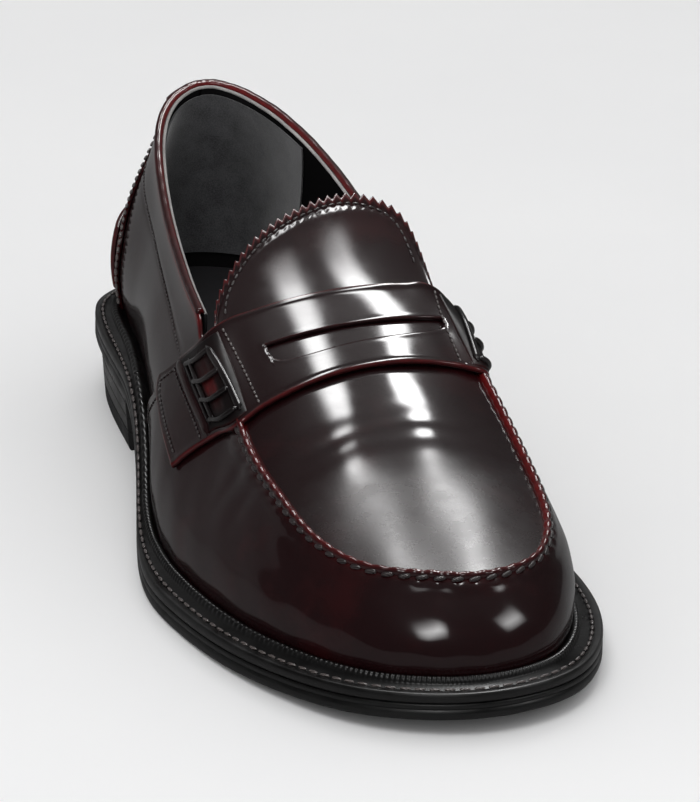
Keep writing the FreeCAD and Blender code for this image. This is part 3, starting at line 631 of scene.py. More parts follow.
def make_welt():
    """Storm welt: a flat with a stitch channel, then a knurled ridge against the upper."""
    count = 2600
    turns = np.arange(count) * TURNS / count
    width = welt_width(turns)
    knurl = 0.5 + 0.5 * np.cos(turns / TURNS * 2 * math.pi * KNURLS)
    low = OUTSOLE_THICK + 0.1
    top = WELT_TOP
    channel = (width - RIDGE_WIDTH) / 2
    section = [(width + 3.0, low), (0.5, low), (0.05, low + 0.5), (0.0, low + 1.5), (0.1, top - 0.35),
               (0.5, top - 0.05), (0.9, top), (channel - 0.55, top), (channel - 0.35, top - 0.35),
               (channel + 0.35, top - 0.35), (channel + 0.55, top), (width - 3.5, top + 0.05),
               (width - 3.35, top + 0.7 + 0.25 * knurl), (width - 3.0, top + 1.5 + 0.45 * knurl),
               (width - 2.4, top + 2.0 + 0.35 * knurl), (width - 1.8, top + 2.15),
               (width - 1.2, top + 1.9), (width - 0.6, top + 0.9), (width + 0.4, top + 0.2),
               (width + 3.0, top)]
    rings = [sole_ring(turns, inset, level) for inset, level in section]
    ring_stack("storm_welt", rings + rings[:1], WELT, replaces=["welt"], slot="welt")
    row = np.arange(1200) * TURNS / 1200
    seat = sole_ring(row, (welt_width(row) - RIDGE_WIDTH) / 2, WELT_TOP - 0.1)
    seat = np.concatenate([seat, seat[:1]])
    stitch_row("welt_lockstitch", seat, upright(seat), PALE_THREAD, pitch=4.0, gap=0.25, radius=0.5, sink=0.2,
               replaces=["welt_stitch"], slot="thread")


LIFTS = (("heel_top_piece", 0.0, 6.0), ("heel_lift_lower", 6.0, 10.8), ("heel_lift_middle", 10.8, 15.6),
         ("heel_lift_upper", 15.6, HEEL_HEIGHT))
BREAST_RADIUS = 95.0
BREAST_STEPS = 38


def heel_outline(inset):
    """Outline of a heel layer in plan: round the back of the sole, then across the hollow breast."""
    candidates = np.linspace(2.5, 4.5, 200)
    front_turn = candidates[sole_along(candidates) <= HEEL_BREAST][-1]
    turns = np.linspace(-front_turn + 0.1, front_turn, 150)
    along, across = plan_point(turns, inset)
    span = np.linspace(across[-1], across[0], BREAST_STEPS + 2)[1:-1]
    hollow = BREAST_RADIUS - np.sqrt(BREAST_RADIUS ** 2 - (span - 1.0) ** 2)
    number = np.arange(BREAST_STEPS)
    blend_in = np.clip(np.minimum(number, number[::-1]) / 4, 0, 1)
    ends = np.linspace(along[-1], along[0], BREAST_STEPS + 2)[1:-1]
    breast = HEEL_BREAST - 4 + hollow
    return np.concatenate([along, mix(ends, breast, blend_in)]), np.concatenate([across, span])


def make_heel():
    """Heel of four layers that taper in towards the ground, each with a softened edge."""
    for name, low, high in LIFTS:
        loops = []
        for level, tuck in ((low, 0.5), (low + 0.25, 0.1), (low + 0.7, 0.0), (high - 0.6, 0.0),
                            (high - 0.25, 0.08), (high - 0.1, 0.4)):
            along, across = heel_outline(mix(3.2, 1.6, level / HEEL_HEIGHT) + tuck)
            loops.append(place(along, across, level))
        rings = len(loops)
        faces = tube_faces(rings, len(loops[0]), closed=False)
        top_piece = name == "heel_top_piece"
        make_piece(name + "_polished", np.concatenate(loops), faces, RUBBER if top_piece else STACK,
                   replaces=[name], slot="rubber" if top_piece else "heel_stack")


# ---------------------------------------------------------------- wall pieces
# outer faces of the layers, in mm out from the master wall or top surface, and their thicknesses
PATCH_FACE, VAMP_FACE, TOP_FACE, QUARTER_FACE, LINING_FACE, GRIP_FACE = 1.9, 0.5, 0.0, -0.9, -3.2, -4.15
WALL_LEATHER, TOP_LEATHER, LINING_LEATHER, GRIP_SUEDE = 1.25, 1.4, 0.8, 0.7


def wall_grid(start, end, bottom, top, columns, rows):
    """Wall piece between two turns, each given at a rise, and two rises, each given at a turn."""
    f, g = np.meshgrid(columns, rows, indexing="ij")
    guess = mix(start(g), end(g), f)
    rise = mix(bottom(guess), top(guess), g)
    turn = mix(start(rise), end(rise), f)
    points, normals = wall_spot(turn, rise)
    return points, normals, turn, rise


def vamp_edge(rise):
    """Rear edge of the vamp wall on the outer side, as a turn."""
    return 4.2 + 0.9 * rise + rise * rise


def fixed(value):
    """An edge at the same turn or rise all along."""
    return lambda other: np.full(np.shape(other), float(value))


def mirrored(edge):
    """An outer-side edge on the inner side."""
    return lambda rise: TURNS - edge(rise)


def arc_length(points):
    """Running length down the first index of a grid, on its last column."""
    steps = np.linalg.norm(np.diff(points[:, -1], axis=0), axis=-1)
    return np.concatenate([[0], np.cumsum(steps)])


SEAM_PITCH = 4.7
SEAM_SPAN = (7.1, 18.9)
# soft folds of the wall at the ball: centre turn, width in turns, depth
WALL_FOLDS = ((7.9, 0.14, 0.35), (8.35, 0.12, 0.25), (18.0, 0.14, 0.35), (17.6, 0.12, 0.25))


def flex(turn, rise, centre, width, height):
    """Soft fold of the wall at the ball, upright and fading towards the sole."""
    return -height * np.exp(-((turn - centre - 0.25 * (rise - 0.7)) / width) ** 2) * smooth(0.35, 0.8, rise)


def make_vamp():
    """Vamp wall from behind the tab, round the toe, to the same place on the inner side."""
    columns = edge_steps(460, 520.0, 1.2)
    rows = edge_steps(46, 62.0, 0.6)
    points, normals, turn, rise = wall_grid(vamp_edge, mirrored(vamp_edge), fixed(0), fixed(1),
                                            columns, rows)
    run = arc_length(points)[:, None]
    seam_start, seam_end = SEAM_SPAN
    pull = smooth(seam_start, seam_start + 0.4, turn) * (1 - smooth(seam_end - 0.4, seam_end, turn))
    scallop = np.cos(run / SEAM_PITCH * 2 * math.pi)
    relief = 0.22 * scallop * np.exp(-((1 - rise) / 0.07) ** 2) * pull
    relief += 0.35 * np.exp(-((rise - 0.9) / 0.07) ** 2) * pull
    for fold in WALL_FOLDS:
        relief += flex(turn, rise, *fold)
    relief += 0.10 * np.sin(turn * 5.1 + 3 * rise) * np.sin(rise * 9 + turn * 2.3)
    worn = np.exp(-((1 - rise) / 0.05) ** 2) * 0.25 * pull
    sheet("vamp", points, normals, VAMP_FACE, WALL_LEATHER, UPPER, sides="lr", radius=0.6,
          relief=relief, worn=0.9, extra_wear=worn, replaces=["vamp_wall"], slot="upper_leather")


def under_strap(low):
    """Top edge of a quarter or its lining, a little lower where the strap covers it."""
    def top(turn):
        side = np.minimum(turn % TURNS, -turn % TURNS)
        return mix(1.0, low, smooth(5.4, 6.0, side))
    return top


BACK_SEAM = 0.03
COLLAR_LINE = 0.74


def quarter_span(side, extra):
    """Start and end of a quarter piece: the back seam, and an edge that runs on under the vamp."""
    def end(rise):
        return vamp_edge(rise) + extra

    if side > 0:
        return fixed(BACK_SEAM), end
    return mirrored(end), fixed(TURNS - BACK_SEAM)


def make_quarters():
    """Quarters, rubbed red at the top line over a pressed collar line, and their linings."""
    for side, name in SIDES:
        points, normals, turn, rise = wall_grid(*quarter_span(side, 0.45), fixed(0), under_strap(0.92),
                                                np.linspace(0, 1, 110), edge_steps(40, 60.0, 0.8))
        back = np.minimum(turn % TURNS, -turn % TURNS)
        groove = -0.35 * np.exp(-((rise - COLLAR_LINE) / 0.02) ** 2)
        groove = groove * smooth(1.0, 1.3, back) * (1 - smooth(4.9, 5.3, back))
        rubbed = np.exp(-((1 - rise) / 0.035) ** 2) * 0.9
        sheet("quarter_" + name + "_leather", points, normals, QUARTER_FACE, WALL_LEATHER, UPPER,
              sides="t", radius=0.9, relief=groove, worn=1.2, extra_wear=rubbed, replaces=["quarter_" + name],
              slot="upper_leather")
        points, normals = wall_grid(*quarter_span(side, 1.3), fixed(0), under_strap(0.86),
                                    np.linspace(0, 1, 90), edge_steps(30, 55.0, 0.5))[:2]
        sheet("quarter_lining_" + name + "_leather", points, normals, LINING_FACE, LINING_LEATHER, LINING,
              sides="t", replaces=["quarter_lining_" + name], slot="lining_leather")


def backstay_half_width(rise):
    """Half width in turns of the strip up the back, narrower to the top."""
    return mix(2.0, 0.9, smooth(0.3, 0.9, rise))


def make_heel_cover():
    """Backstay strip up the heel, the patch over its foot and the suede grip inside."""
    points, normals = wall_grid(lambda r: -backstay_half_width(r), backstay_half_width, fixed(0), fixed(1),
                                edge_steps(60, 60.0, 0.8), edge_steps(70, 80.0, 0.8))[:2]
    sheet("backstay_leather", points, normals, VAMP_FACE, WALL_LEATHER, UPPER, radius=0.7, worn=0.9,
          worn_sides="lrt", replaces=["backstay"], slot="upper_leather")
    half, foot = 1.7, 0.07
    points, normals, turn, rise = wall_grid(fixed(-half), fixed(half), fixed(foot),
                                            lambda t: 0.46 - 0.02 * t * t,
                                            edge_steps(60, 60.0, 1.0), edge_steps(36, 36.0, 1.0))
    swell = np.sin(math.pi * np.clip((rise - foot) / 0.39, 0, 1)) ** 0.7
    pad = 0.9 * (1 - (turn / half) ** 2) ** 0.5 * swell
    sheet("heel_patch_leather", points, normals, PATCH_FACE, WALL_LEATHER, UPPER, radius=1.0, relief=pad,
          worn=1.0, replaces=["heel_patch"], slot="upper_leather")
    points, normals = wall_grid(fixed(-2.6), fixed(2.6), fixed(0.12), fixed(0.965),
                                edge_steps(60, 70.0, 0.5), edge_steps(50, 80.0, 0.5))[:2]
    sheet("heel_grip_suede", points, normals, GRIP_FACE, GRIP_SUEDE, SUEDE, sides="lrt", radius=0.5,
          replaces=["heel_grip"], slot="suede")


COLLAR_REACH = 5.45


def make_collar():
    """Rolled binding round the top line, with a pale line painted as a highlight where the lining meets it.
    """
    turns = np.linspace(-COLLAR_REACH, COLLAR_REACH, 420)
    points, normals = wall_spot(turns, 1.0)
    up = upright(points)
    ripple = 0.06 * np.sin(turns * 9.0) + 0.04 * np.sin(turns * 23.0)
    centre = points + normals * -2.05 + up * (0.35 + ripple)[:, None]
    sides = 18
    profile = oval(1.35, 0.95, sides)
    angle = np.arange(sides) * 2 * math.pi / sides
    rubbed = np.clip(0.25 - 0.7 * np.cos(angle), 0, 1)[None, :]
    swept("collar_binding_roll", centre, normals, up, profile, BINDING, wear=rubbed,
          replaces=["collar_binding"], slot="edge_binding")
    # pale tube along the lining's top edge: a painted highlight
    bead = points + normals * -3.75 + up * (-0.35 + 0.5 * ripple)[:, None]
    swept("lining_bead", bead, normals, up, oval(0.5, 0.5, 8), PAINTED_EDGE_HIGHLIGHT, slot="lining_leather")


# ---------------------------------------------------------------- apron and tongue
def rim_plan(turn, inset):
    """Rim in plan, moved inwards, as (along, across)."""
    step = 0.02
    d_along = rim_along(turn + step) - rim_along(turn - step)
    d_across = rim_across(turn + step) - rim_across(turn - step)
    length = np.hypot(d_along, d_across)
    return rim_along(turn) - inset * d_across / length, rim_across(turn) + inset * d_along / length


APRON_REAR_TURNS = (6.22, TURNS - 6.07)
APRON_TOE_TURNS = (11.4, 14.8)
TONGUE_ROOT = 150.3


def apron_plan(inset, columns, rows):
    """Plan grid of the apron, filled between its rear line and the seam round its other sides."""
    u, w = np.meshgrid(columns, rows, indexing="ij")
    rear_out, rear_in = APRON_REAR_TURNS
    toe_out, toe_in = APRON_TOE_TURNS
    a, b = rim_plan(rear_out, inset), rim_plan(rear_in, inset)
    left, right = rim_plan(mix(rear_out, toe_out, w), inset), rim_plan(mix(rear_in, toe_in, w), inset)
    front = rim_plan(mix(toe_out, toe_in, u), inset)
    c, d = rim_plan(toe_out, inset), rim_plan(toe_in, inset)
    return [mix(mix(a[k], b[k], u), front[k], w) + mix(left[k], right[k], u)
            - mix(mix(a[k], b[k], u), mix(c[k], d[k], u), w) for k in (0, 1)]


# flex creases: place along the shoe, slant, width, depth
CREASES = ((196, -0.3, 3.0, 0.04), (205, -0.25, 2.6, 0.09), (212, -0.2, 3.2, 0.08))


def make_apron():
    """Apron with the flex creases of a worn forefoot."""
    along, across = apron_plan(0.9, edge_steps(110, 70.0, 0.5), edge_steps(170, 130.0, 0.5))
    points, normals = top_spot(along, across)
    relief = 0.0
    for place_along, slant, width, depth in CREASES:
        wander = 1.6 * np.sin(across / 9.0 + place_along) + 0.5 * np.sin(across / 3.7)
        off = along - place_along - slant * across * 0.25 - wander
        fade = 0.45 + 0.55 * np.cos((across - TOP_MIDDLE) / 40 * math.pi / 2)
        relief = relief - depth * np.exp(-(off / width) ** 2) * fade
        relief = relief + 0.6 * depth * np.exp(-((off - 1.9 * width) / (1.2 * width)) ** 2) * fade
    relief = relief + 0.10 * np.sin(along / 7.0 + across / 11.0) * np.sin(across / 6.0)
    sheet("apron_leather", points, normals, TOP_FACE, TOP_LEATHER, APRON_LEATHER, radius=0.5,
          relief=relief, worn=1.0, replaces=["apron"], slot="upper_leather")


def make_seam():
    """Moccasin seam: the apron's raised lip and the cord stitches that pull the wall up to it."""
    turns = np.linspace(SEAM_SPAN[0], SEAM_SPAN[1], 900)
    along, across = rim_plan(turns, 0.35)
    points, normals = top_spot(along, across)
    ahead = unit(np.gradient(points, axis=0))
    side = unit(np.cross(normals, ahead))
    side = side * np.sign(np.sum(side * wall_spot(turns, 0.9)[1], -1))[:, None]
    run = np.concatenate([[0], np.cumsum(np.linalg.norm(np.diff(points, axis=0), axis=1))])
    pinch = 1 + 0.07 * np.cos(run / SEAM_PITCH * 2 * math.pi)
    sides = 16
    angle = np.arange(sides) * 2 * math.pi / sides
    profile = oval(1.15, 1.45, sides, 0.55)
    rubbed = np.clip(0.15 - 0.75 * np.cos(angle) + 0.35 * np.sin(angle), 0, 1)[None, :]
    swept("seam_lip", points, side, normals, profile, LIP_RED, scale=pinch, wear=rubbed, slot="upper_leather")
    seat = points + side * 1.15 + normals * 0.55
    lean = unit(side + 0.8 * normals)
    stitch_row("seam_cord_stitches", seat, lean, THREAD, pitch=SEAM_PITCH, gap=0.28, radius=0.72, sink=0.35,
               slant=0.18, replaces=["moc_seam_thread"], slot="thread")


TOOTH_PITCH = 2.8
TOOTH_DEPTH = 1.5
TOOTH_POINTS = 6
TONGUE_LAST = len(TONGUE_EDGE) - 1
TONGUE_INSET = 0.9


def tongue_cut():
    """Places evenly along the tongue's edge, and the pinking's depth at each."""
    fine = np.linspace(0, TONGUE_LAST, 1200)
    steps = np.hypot(np.diff(tongue_along(fine)), np.diff(tongue_across(fine)))
    run = np.concatenate([[0], np.cumsum(steps)])
    count = int(run[-1] / TOOTH_PITCH) * TOOTH_POINTS + 1
    where = np.interp(np.linspace(0, run[-1], count), run, fine)
    zigzag = np.abs((np.arange(count) / TOOTH_POINTS) % 1 - 0.5) * 2
    return where, TOOTH_DEPTH * zigzag


def make_tongue():
    """Tongue with a pinked edge; its root runs on under the strap."""
    where, cut = tongue_cut()
    edge_along, edge_across = tongue_along(where)[:, None], tongue_across(where)[:, None]
    root_along = TONGUE_ROOT + 5.5
    root_across = mix(-28.0, 38.5, smooth(0, 1, np.linspace(0, 1, len(where))))[:, None]
    reach = np.hypot(edge_along - root_along, edge_across - root_across)
    shrink = 1 - cut[:, None] / np.maximum(reach, 6.0)
    rows = edge_steps(44, 30.0, 0.8, low=False)[None, :]
    w = rows * mix(1.0, shrink, smooth(0.8, 1.0, rows))
    points, normals = top_spot(mix(root_along, edge_along, w), mix(root_across, edge_across, w))
    flat = (1 - rows) * reach
    relief = 0.35 * np.exp(-(flat / 6.0) ** 2) - 0.25 * np.exp(-((flat - 3.0) / 0.8) ** 2)
    tongue = sheet("tongue_leather", points, normals, TOP_FACE, TOP_LEATHER, UPPER, sides="lrt", radius=0.45,
                   relief=relief, worn=1.7, worn_sides="t", replaces=["tongue"], slot="upper_leather",
                   body=None)
    height = float(top_height(TONGUE_ROOT, TOP_MIDDLE))
    start, end = to_frame(place([TONGUE_ROOT + 4, TONGUE_ROOT - 4], [0, 0], [height, height]))
    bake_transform(tongue)


def make_tongue_stitches():
    """Stitch row inside the tongue's pinked edge."""
    inner = np.linspace(0.5, TONGUE_LAST - 0.5, 260)
    along = TONGUE_ROOT - (TONGUE_ROOT - tongue_along(inner)) * TONGUE_INSET
    across = TOP_MIDDLE + (tongue_across(inner) - TOP_MIDDLE) * TONGUE_INSET
    points, normals = top_spot(along, across)
    stitch_row("tongue_edge_stitches", points, normals, THREAD, pitch=2.4, radius=0.36, sink=0.1,
               body="tongue", replaces=["tongue_edge_stitch"], slot="thread")


# ---------------------------------------------------------------- strap and rolls
# each by side, outer (1) and inner (-1): rim turns of its rear and front edge, and tab end corners
STRAP_TURNS = {1: (6.05, 7.5), -1: (5.9, 7.14)}
TAB_CORNERS = {1: ((4.75, 0.47), (6.4, 0.40)), -1: ((4.65, 0.47), (6.1, 0.40))}
STRAP_LAYER = (0.95, 2.25)
BACKING_LAYER = (0.35, 0.85)
WALL_KNOTS = (1.0, 0.75, 0.5, 0.25)
TOP_KNOTS = np.linspace(0.08, 0.92, 11)
STRAP_KNOTS = 2 * len(WALL_KNOTS) + len(TOP_KNOTS) + 2
SLOT_PLACES = (6.35, 15.05)
SLOT_REAR = 0.38
SLOT_DEPTHS = (0.28, 0.16)
CORNER_LIFT = -0.6


def strap_rim_turn(f, side):
    """Turn at which a fraction of the strap's width crosses the rim."""
    return mix(STRAP_TURNS[side][0], STRAP_TURNS[side][1], f)


def strap_side(f, down, side):
    """Turn and rise on the tab: f from rear to front edge, down from the rim (0) to its end (1)."""
    rear, front = TAB_CORNERS[side]
    end_turn, end_rise = mix(rear[0], front[0], f), mix(rear[1], front[1], f)
    turn = mix(strap_rim_turn(f, side), end_turn, down)
    return (turn if side > 0 else TURNS - turn), mix(1.0, end_rise, down)


def strap_top(f, u):
    """Plan place on the strap's top: u from the outer seam to the inner seam."""
    a, b = rim_plan(strap_rim_turn(f, 1), 0.0), rim_plan(TURNS - strap_rim_turn(f, -1), 0.0)
    bow = 10.0 * u * (1 - u) * mix(-0.2, 1.0, f)
    return mix(a[0], b[0], u) - bow, mix(a[1], b[1], u)


def strap_corner(f, side):
    """Point over the seam, where the strap turns down from the top on to the wall."""
    turn, rise = strap_side(f, 0.0, side)
    flat = top_spot(*strap_top(f, 0.0 if side > 0 else 1.0))[1]
    steep = wall_spot(turn, rise)[1]
    return rim_point(turn) + unit(flat + steep) * CORNER_LIFT


def strap_table():
    """Dense grid of points under the strap, with its fractions and knot places."""
    fractions = np.linspace(-0.08, 1.08, 59)
    knots = [wall_spot(*strap_side(fractions, down, 1))[0] for down in WALL_KNOTS]
    knots.append(strap_corner(fractions, 1))
    knots += [top_spot(*strap_top(fractions, u))[0] for u in TOP_KNOTS]
    knots.append(strap_corner(fractions, -1))
    knots += [wall_spot(*strap_side(fractions, down, -1))[0] for down in WALL_KNOTS[::-1]]
    places = np.linspace(-0.3, STRAP_KNOTS - 0.7, 421)
    return fractions, places, spline(knots)(places)


TABLE_FRACTIONS, TABLE_PLACES, STRAP_TABLE = strap_table()


def weights(t):
    """Weights of four neighbours for a smooth curve through a row of values."""
    return [((2 - t) * t - 1) * t / 2, ((3 * t - 5) * t * t + 2) / 2,
            ((4 - 3 * t) * t + 1) * t / 2, (t - 1) * t * t / 2]


def strap_middle(f, q):
    """Smooth look-up in the strap's table of points."""
    row = (q - TABLE_PLACES[0]) / (TABLE_PLACES[1] - TABLE_PLACES[0])
    column = (f - TABLE_FRACTIONS[0]) / (TABLE_FRACTIONS[1] - TABLE_FRACTIONS[0])
    i = np.clip(np.floor(row).astype(int), 1, len(TABLE_PLACES) - 3)
    j = np.clip(np.floor(column).astype(int), 1, len(TABLE_FRACTIONS) - 3)
    total = 0.0
    for a, across in enumerate(weights(row - i)):
        for b, along in enumerate(weights(column - j)):
            total = total + (across * along)[..., None] * STRAP_TABLE[i + a - 1, j + b - 1]
    return total


def strap_spot(f, q):
    """Point and outward normal under the strap at a fraction from its rear edge and a knot place."""
    f, q = np.broadcast_arrays(np.asarray(f, float), np.asarray(q, float))
    across_strap = strap_middle(f + 0.03, q) - strap_middle(f - 0.03, q)
    along_strap = strap_middle(f, q + 0.08) - strap_middle(f, q - 0.08)
    return strap_middle(f, q), unit(np.cross(across_strap, along_strap))


def slot_edges(q):
    """Strap fractions of the slot's straight rear and bowed front edge at a knot place."""
    part = np.clip((q - SLOT_PLACES[0]) / (SLOT_PLACES[1] - SLOT_PLACES[0]), 0, 1)
    bow = np.clip(1 - np.abs(2 * part - 1) ** 4, 0, 1) ** 0.25
    rear = SLOT_REAR + 0.03 * np.sin(math.pi * part)
    return rear, rear + mix(SLOT_DEPTHS[0], SLOT_DEPTHS[1], part) * bow


TAB_ROUND = (0.17, 0.75)


def slotted_grid(columns, rows):
    """Strap fractions with two sets of rows, one each side of the slot, and the grid's point numbers."""
    rear, front = [edge[:, None] for edge in slot_edges(columns)]
    f = np.hstack([rear * rows, mix(front, 1.0, rows)])
    index = np.arange(f.size).reshape(f.shape)
    joint = len(rows) - 1
    shut = (front - rear)[:, 0] < 1e-6
    index[shut, joint + 1] = index[shut, joint]
    keep = np.ones((f.shape[0] - 1, f.shape[1] - 1), bool)
    keep[:, joint] = False
    return f, index, keep, joint, shut


def make_strap():
    """Saddle strap with its penny slot; its tabs have one rounded corner and turned red edges."""
    last = STRAP_KNOTS - 1
    outer_end = edge_steps(60, SLOT_PLACES[0], 0.12, high=False) * SLOT_PLACES[0]
    inner_end = last - edge_steps(50, last - SLOT_PLACES[1], 0.12, high=False)[::-1] * (last - SLOT_PLACES[1])
    along_slot = mix(*SLOT_PLACES, 0.5 - 0.5 * np.cos(np.linspace(0, math.pi, 120)))
    columns = np.concatenate([outer_end[:-1], along_slot, inner_end[1:]])
    f, index, keep, joint, shut = slotted_grid(columns, edge_steps(24, 15.0, 0.6))
    corner = np.clip(1 - f / TAB_ROUND[0], 0, 1)
    q = np.broadcast_to(columns[:, None], f.shape)
    near_end = np.clip(1 - np.minimum(q, last - q) / 3.0, 0, 1)
    q = q + TAB_ROUND[1] * (1 - np.sqrt(1 - corner ** 2)) * near_end * np.where(q < last / 2, 1, -1)
    points, normals = strap_spot(f, q)
    rim = np.concatenate([points[~shut, joint], points[~shut, joint + 1]])
    to_slot = np.concatenate([np.min(np.linalg.norm(line[:, None] - rim[None], axis=-1), axis=1)[None]
                              for line in points])
    distance = np.minimum(edge_distance(points, "lrbt"), to_slot)
    tab = 1 - smooth(2.2, 2.8, np.minimum(q, last - q))
    relief = (-0.3 * np.exp(-((edge_distance(points, "lrb") - 2.2) / 0.5) ** 2) * tab
              + 0.08 * np.exp(-((to_slot - 1.0) / 0.8) ** 2)
              + 0.25 * np.exp(-((edge_distance(points, "bt") - 1.2) / 0.9) ** 2))
    sheet("saddle_strap", points, normals, STRAP_LAYER[1], STRAP_LAYER[1] - STRAP_LAYER[0], UPPER,
          radius=0.65, relief=relief, index=index, keep=keep, distance=distance, worn=0.8,
          extra_wear=-0.6 * np.exp(-(to_slot / 1.2) ** 2), replaces=["strap"], slot="upper_leather")


def make_slot_backing():
    """Leather that shows through the slot, under the strap."""
    f, q = np.meshgrid(np.linspace(0.28, 0.8, 50), np.linspace(5.9, 15.5, 120), indexing="ij")
    points, normals = strap_spot(f, q)
    sheet("slot_backing_leather", points, normals, BACKING_LAYER[1], BACKING_LAYER[1] - BACKING_LAYER[0],
          UPPER, radius=0.2, worn=0.5, replaces=["slot_backing"], slot="upper_leather")


ROLL_SPAN = (2.0, 4.6)
# cords along a roll: name, knot places at its rear and front, lift, radius, widening
ROLL_CORDS = (("rail", 4.05, 4.35, 0.1, 0.9, 1.3), ("inner_rail", 3.0, 2.9, 0.05, 0.6, 1.3),
              ("edge_cord", 2.62, 2.5, 0.1, 0.45, 1.0))
# strap fractions of the cords across a roll
RUNG_PLACES = (0.19, 0.42, 0.63, 0.85)


def roll_spot(f, q, side, lift):
    """Point over the strap's top face; q counts from the outer tab on either side."""
    points, normals = strap_spot(f, q if side > 0 else STRAP_KNOTS - 1 - q)
    return points + normals * (STRAP_LAYER[1] + np.asarray(lift, float))[..., None], normals


def roll_arch(f, q):
    """Height of the roll's filling over the strap."""
    part = np.clip((q - ROLL_SPAN[0]) / (ROLL_SPAN[1] - ROLL_SPAN[0]), 0, 1)
    end = np.sin(math.pi * np.clip((f - 0.04) / 0.92, 0, 1)) ** 0.4
    return 2.1 * np.sin(math.pi * part) ** 0.7 * end


def strand(name, f, q, side, lift, radius, material, wide=1.0, **options):
    """Cord laid over the roll along matching lists of fractions and knot places."""
    centre, normals = roll_spot(f, q, side, roll_arch(f, q) + lift)
    ahead = unit(np.gradient(centre, axis=0))
    across = unit(np.cross(normals, ahead))
    taper = np.sin(np.clip(np.linspace(0, 1, len(f)) * 12, 0, 1) * math.pi / 2)
    taper = np.maximum(np.minimum(taper, taper[::-1]), 0.35)
    swept(name, centre, across, normals, oval(radius * wide, radius, 12), material, scale=taper, **options)


def make_roll_filling(side, name):
    """Dark filling of a beefroll, hollowed and red in the windows between its cords."""
    f, q = np.meshgrid(np.linspace(0.06, 0.94, 90), np.linspace(*ROLL_SPAN, 60), indexing="ij")
    points, normals = roll_spot(f, q, side, 0.0)
    window = smooth(0.2, 0.3, f) * (1 - smooth(0.72, 0.84, f))
    window = window * smooth(3.1, 3.35, q) * (1 - smooth(3.7, 3.95, q))
    hollow = -0.5 * window * np.abs(np.sin((f - 0.19) / 0.22 * math.pi)) ** 0.5
    red = mix(0.15, 0.9, np.exp(-((f - 0.53) / 0.09) ** 2))
    sheet("beefroll_filling_" + name, points, normals, 0.0, 0.35, WINDOW_RED, radius=0.3,
          relief=roll_arch(f, q) * 0.75 + 0.12 + hollow, worn=0.3, extra_wear=window * red,
          replaces=["beefroll_" + name], slot="upper_leather")


def make_roll(side, name):
    """Beefroll: its filling under a ladder of cord, held by a fold on the tab side."""
    make_roll_filling(side, name)
    steps = np.linspace(0, 1, 60)
    along = mix(0.15, 0.89, steps)
    for label, rear, front, lift, radius, wide in ROLL_CORDS:
        hidden = ["beefroll_cords_" + name] if label == "rail" else []
        strand(f"beefroll_{label}_{name}", along, mix(rear, front, steps), side, lift, radius, CORD,
               wide=wide, replaces=hidden, slot="cord")
    for number, place_f in enumerate(RUNG_PLACES):
        rung_q = mix(2.55, mix(4.1, 4.35, place_f), steps)
        rung_f = place_f + 0.02 * np.sin(steps * math.pi)
        strand(f"beefroll_rung_{number + 1}_{name}", rung_f, rung_q, side, 0.2, 0.85, CORD, slot="cord")
    fold_q = 2.12 + 0.04 * np.sin(steps * 9)
    strand("beefroll_fold_" + name, mix(0.02, 0.97, steps), fold_q, side, 0.1, 0.8, UPPER, wide=1.9,
           slot="upper_leather")


# ---------------------------------------------------------------- stitch rows on the upper
TAB_ROW = (0.065, 0.34)


def make_strap_stitches(side, name):
    """Rows on both sides of a roll, and the border row of the tab."""
    f = np.linspace(0.06, 0.95, 60)
    points, normals = roll_spot(f, mix(4.75, 5.2, f), side, 0.05)
    stitch_row("strap_stitch_" + name + "_thread", points, normals, PALE_THREAD, pitch=1.9, radius=0.34,
               slot="thread", replaces=["strap_stitch_" + name])
    points, normals = roll_spot(f, 1.72, side, 0.05)
    stitch_row("roll_stitch_" + name + "_thread", points, normals, THREAD, pitch=2.0, radius=0.34,
               slot="thread")
    down = np.linspace(1.9, TAB_ROW[1], 30)
    across = np.linspace(0.07, 0.9, 40)[1:]
    f = np.concatenate([np.full_like(down, TAB_ROW[0]), across])
    q = np.concatenate([down, np.full_like(across, TAB_ROW[1])])
    q = q + 0.5 * np.clip(1 - f / TAB_ROUND[0], 0, 1) * np.clip(1 - q / 1.4, 0, 1)
    points, normals = roll_spot(f, q, side, 0.0)
    stitch_row("tab_border_stitches_" + name, points, normals, THREAD, pitch=2.1, radius=0.32,
               replaces=["tab_stitch_" + name], slot="thread")


def wall_line(turns, rises, side, offset):
    """Points and normals of a line over the master wall, on either side."""
    points, normals = wall_spot(turns if side > 0 else TURNS - turns, rises)
    return points + normals * offset, normals


def make_wall_stitches(side, name):
    """Collar row, vamp edge row and backstay rows of one side."""
    turns = np.linspace(1.2, 5.2, 160)
    rises = 0.775 - 0.012 * turns
    points, normals = wall_line(turns, rises, side, -1.15)
    stitch_row("collar_stitches_" + name, points, normals, THREAD, pitch=2.0, radius=0.3,
               replaces=["collar_stitch_" + name], slot="thread")
    rises = np.linspace(0.05, 0.44, 60)
    points, normals = wall_line(vamp_edge(rises) + 0.13, rises, side, 0.5)
    stitch_row("vamp_edge_stitches_" + name, points, normals, THREAD, pitch=2.0, radius=0.32,
               replaces=["vamp_edge_stitch_" + name], slot="thread")
    rises = np.linspace(0.03, 0.97, 160)
    points, normals = wall_line((backstay_half_width(rises) + 0.04) * side, rises, 1, 0.25)
    stitch_row("backstay_edge_lacing_" + name, points, normals, PALE_THREAD, pitch=2.4, gap=0.12,
               radius=0.62, sink=0.3, slant=0.75 * side, replaces=["backstay_stitch_" + name], slot="thread")


# ---------------------------------------------------------------- pieces inside, kept from the frame
KEPT = {
    "insole_rib": TAN, "insole": TAN, "cork_filler": CORK, "shank": STEEL, "heel_nails": STEEL,
    "top_piece_tacks": STEEL, "heel_pad": FOAM, "sock_lining": SOCK, "toe_puff": BOARD, "heel_counter": BOARD,
    "interlining_lateral": COTTON, "interlining_medial": COTTON, "vamp_lining": LINING,
    "apron_lining": LINING, "tongue_lining": LINING,
}


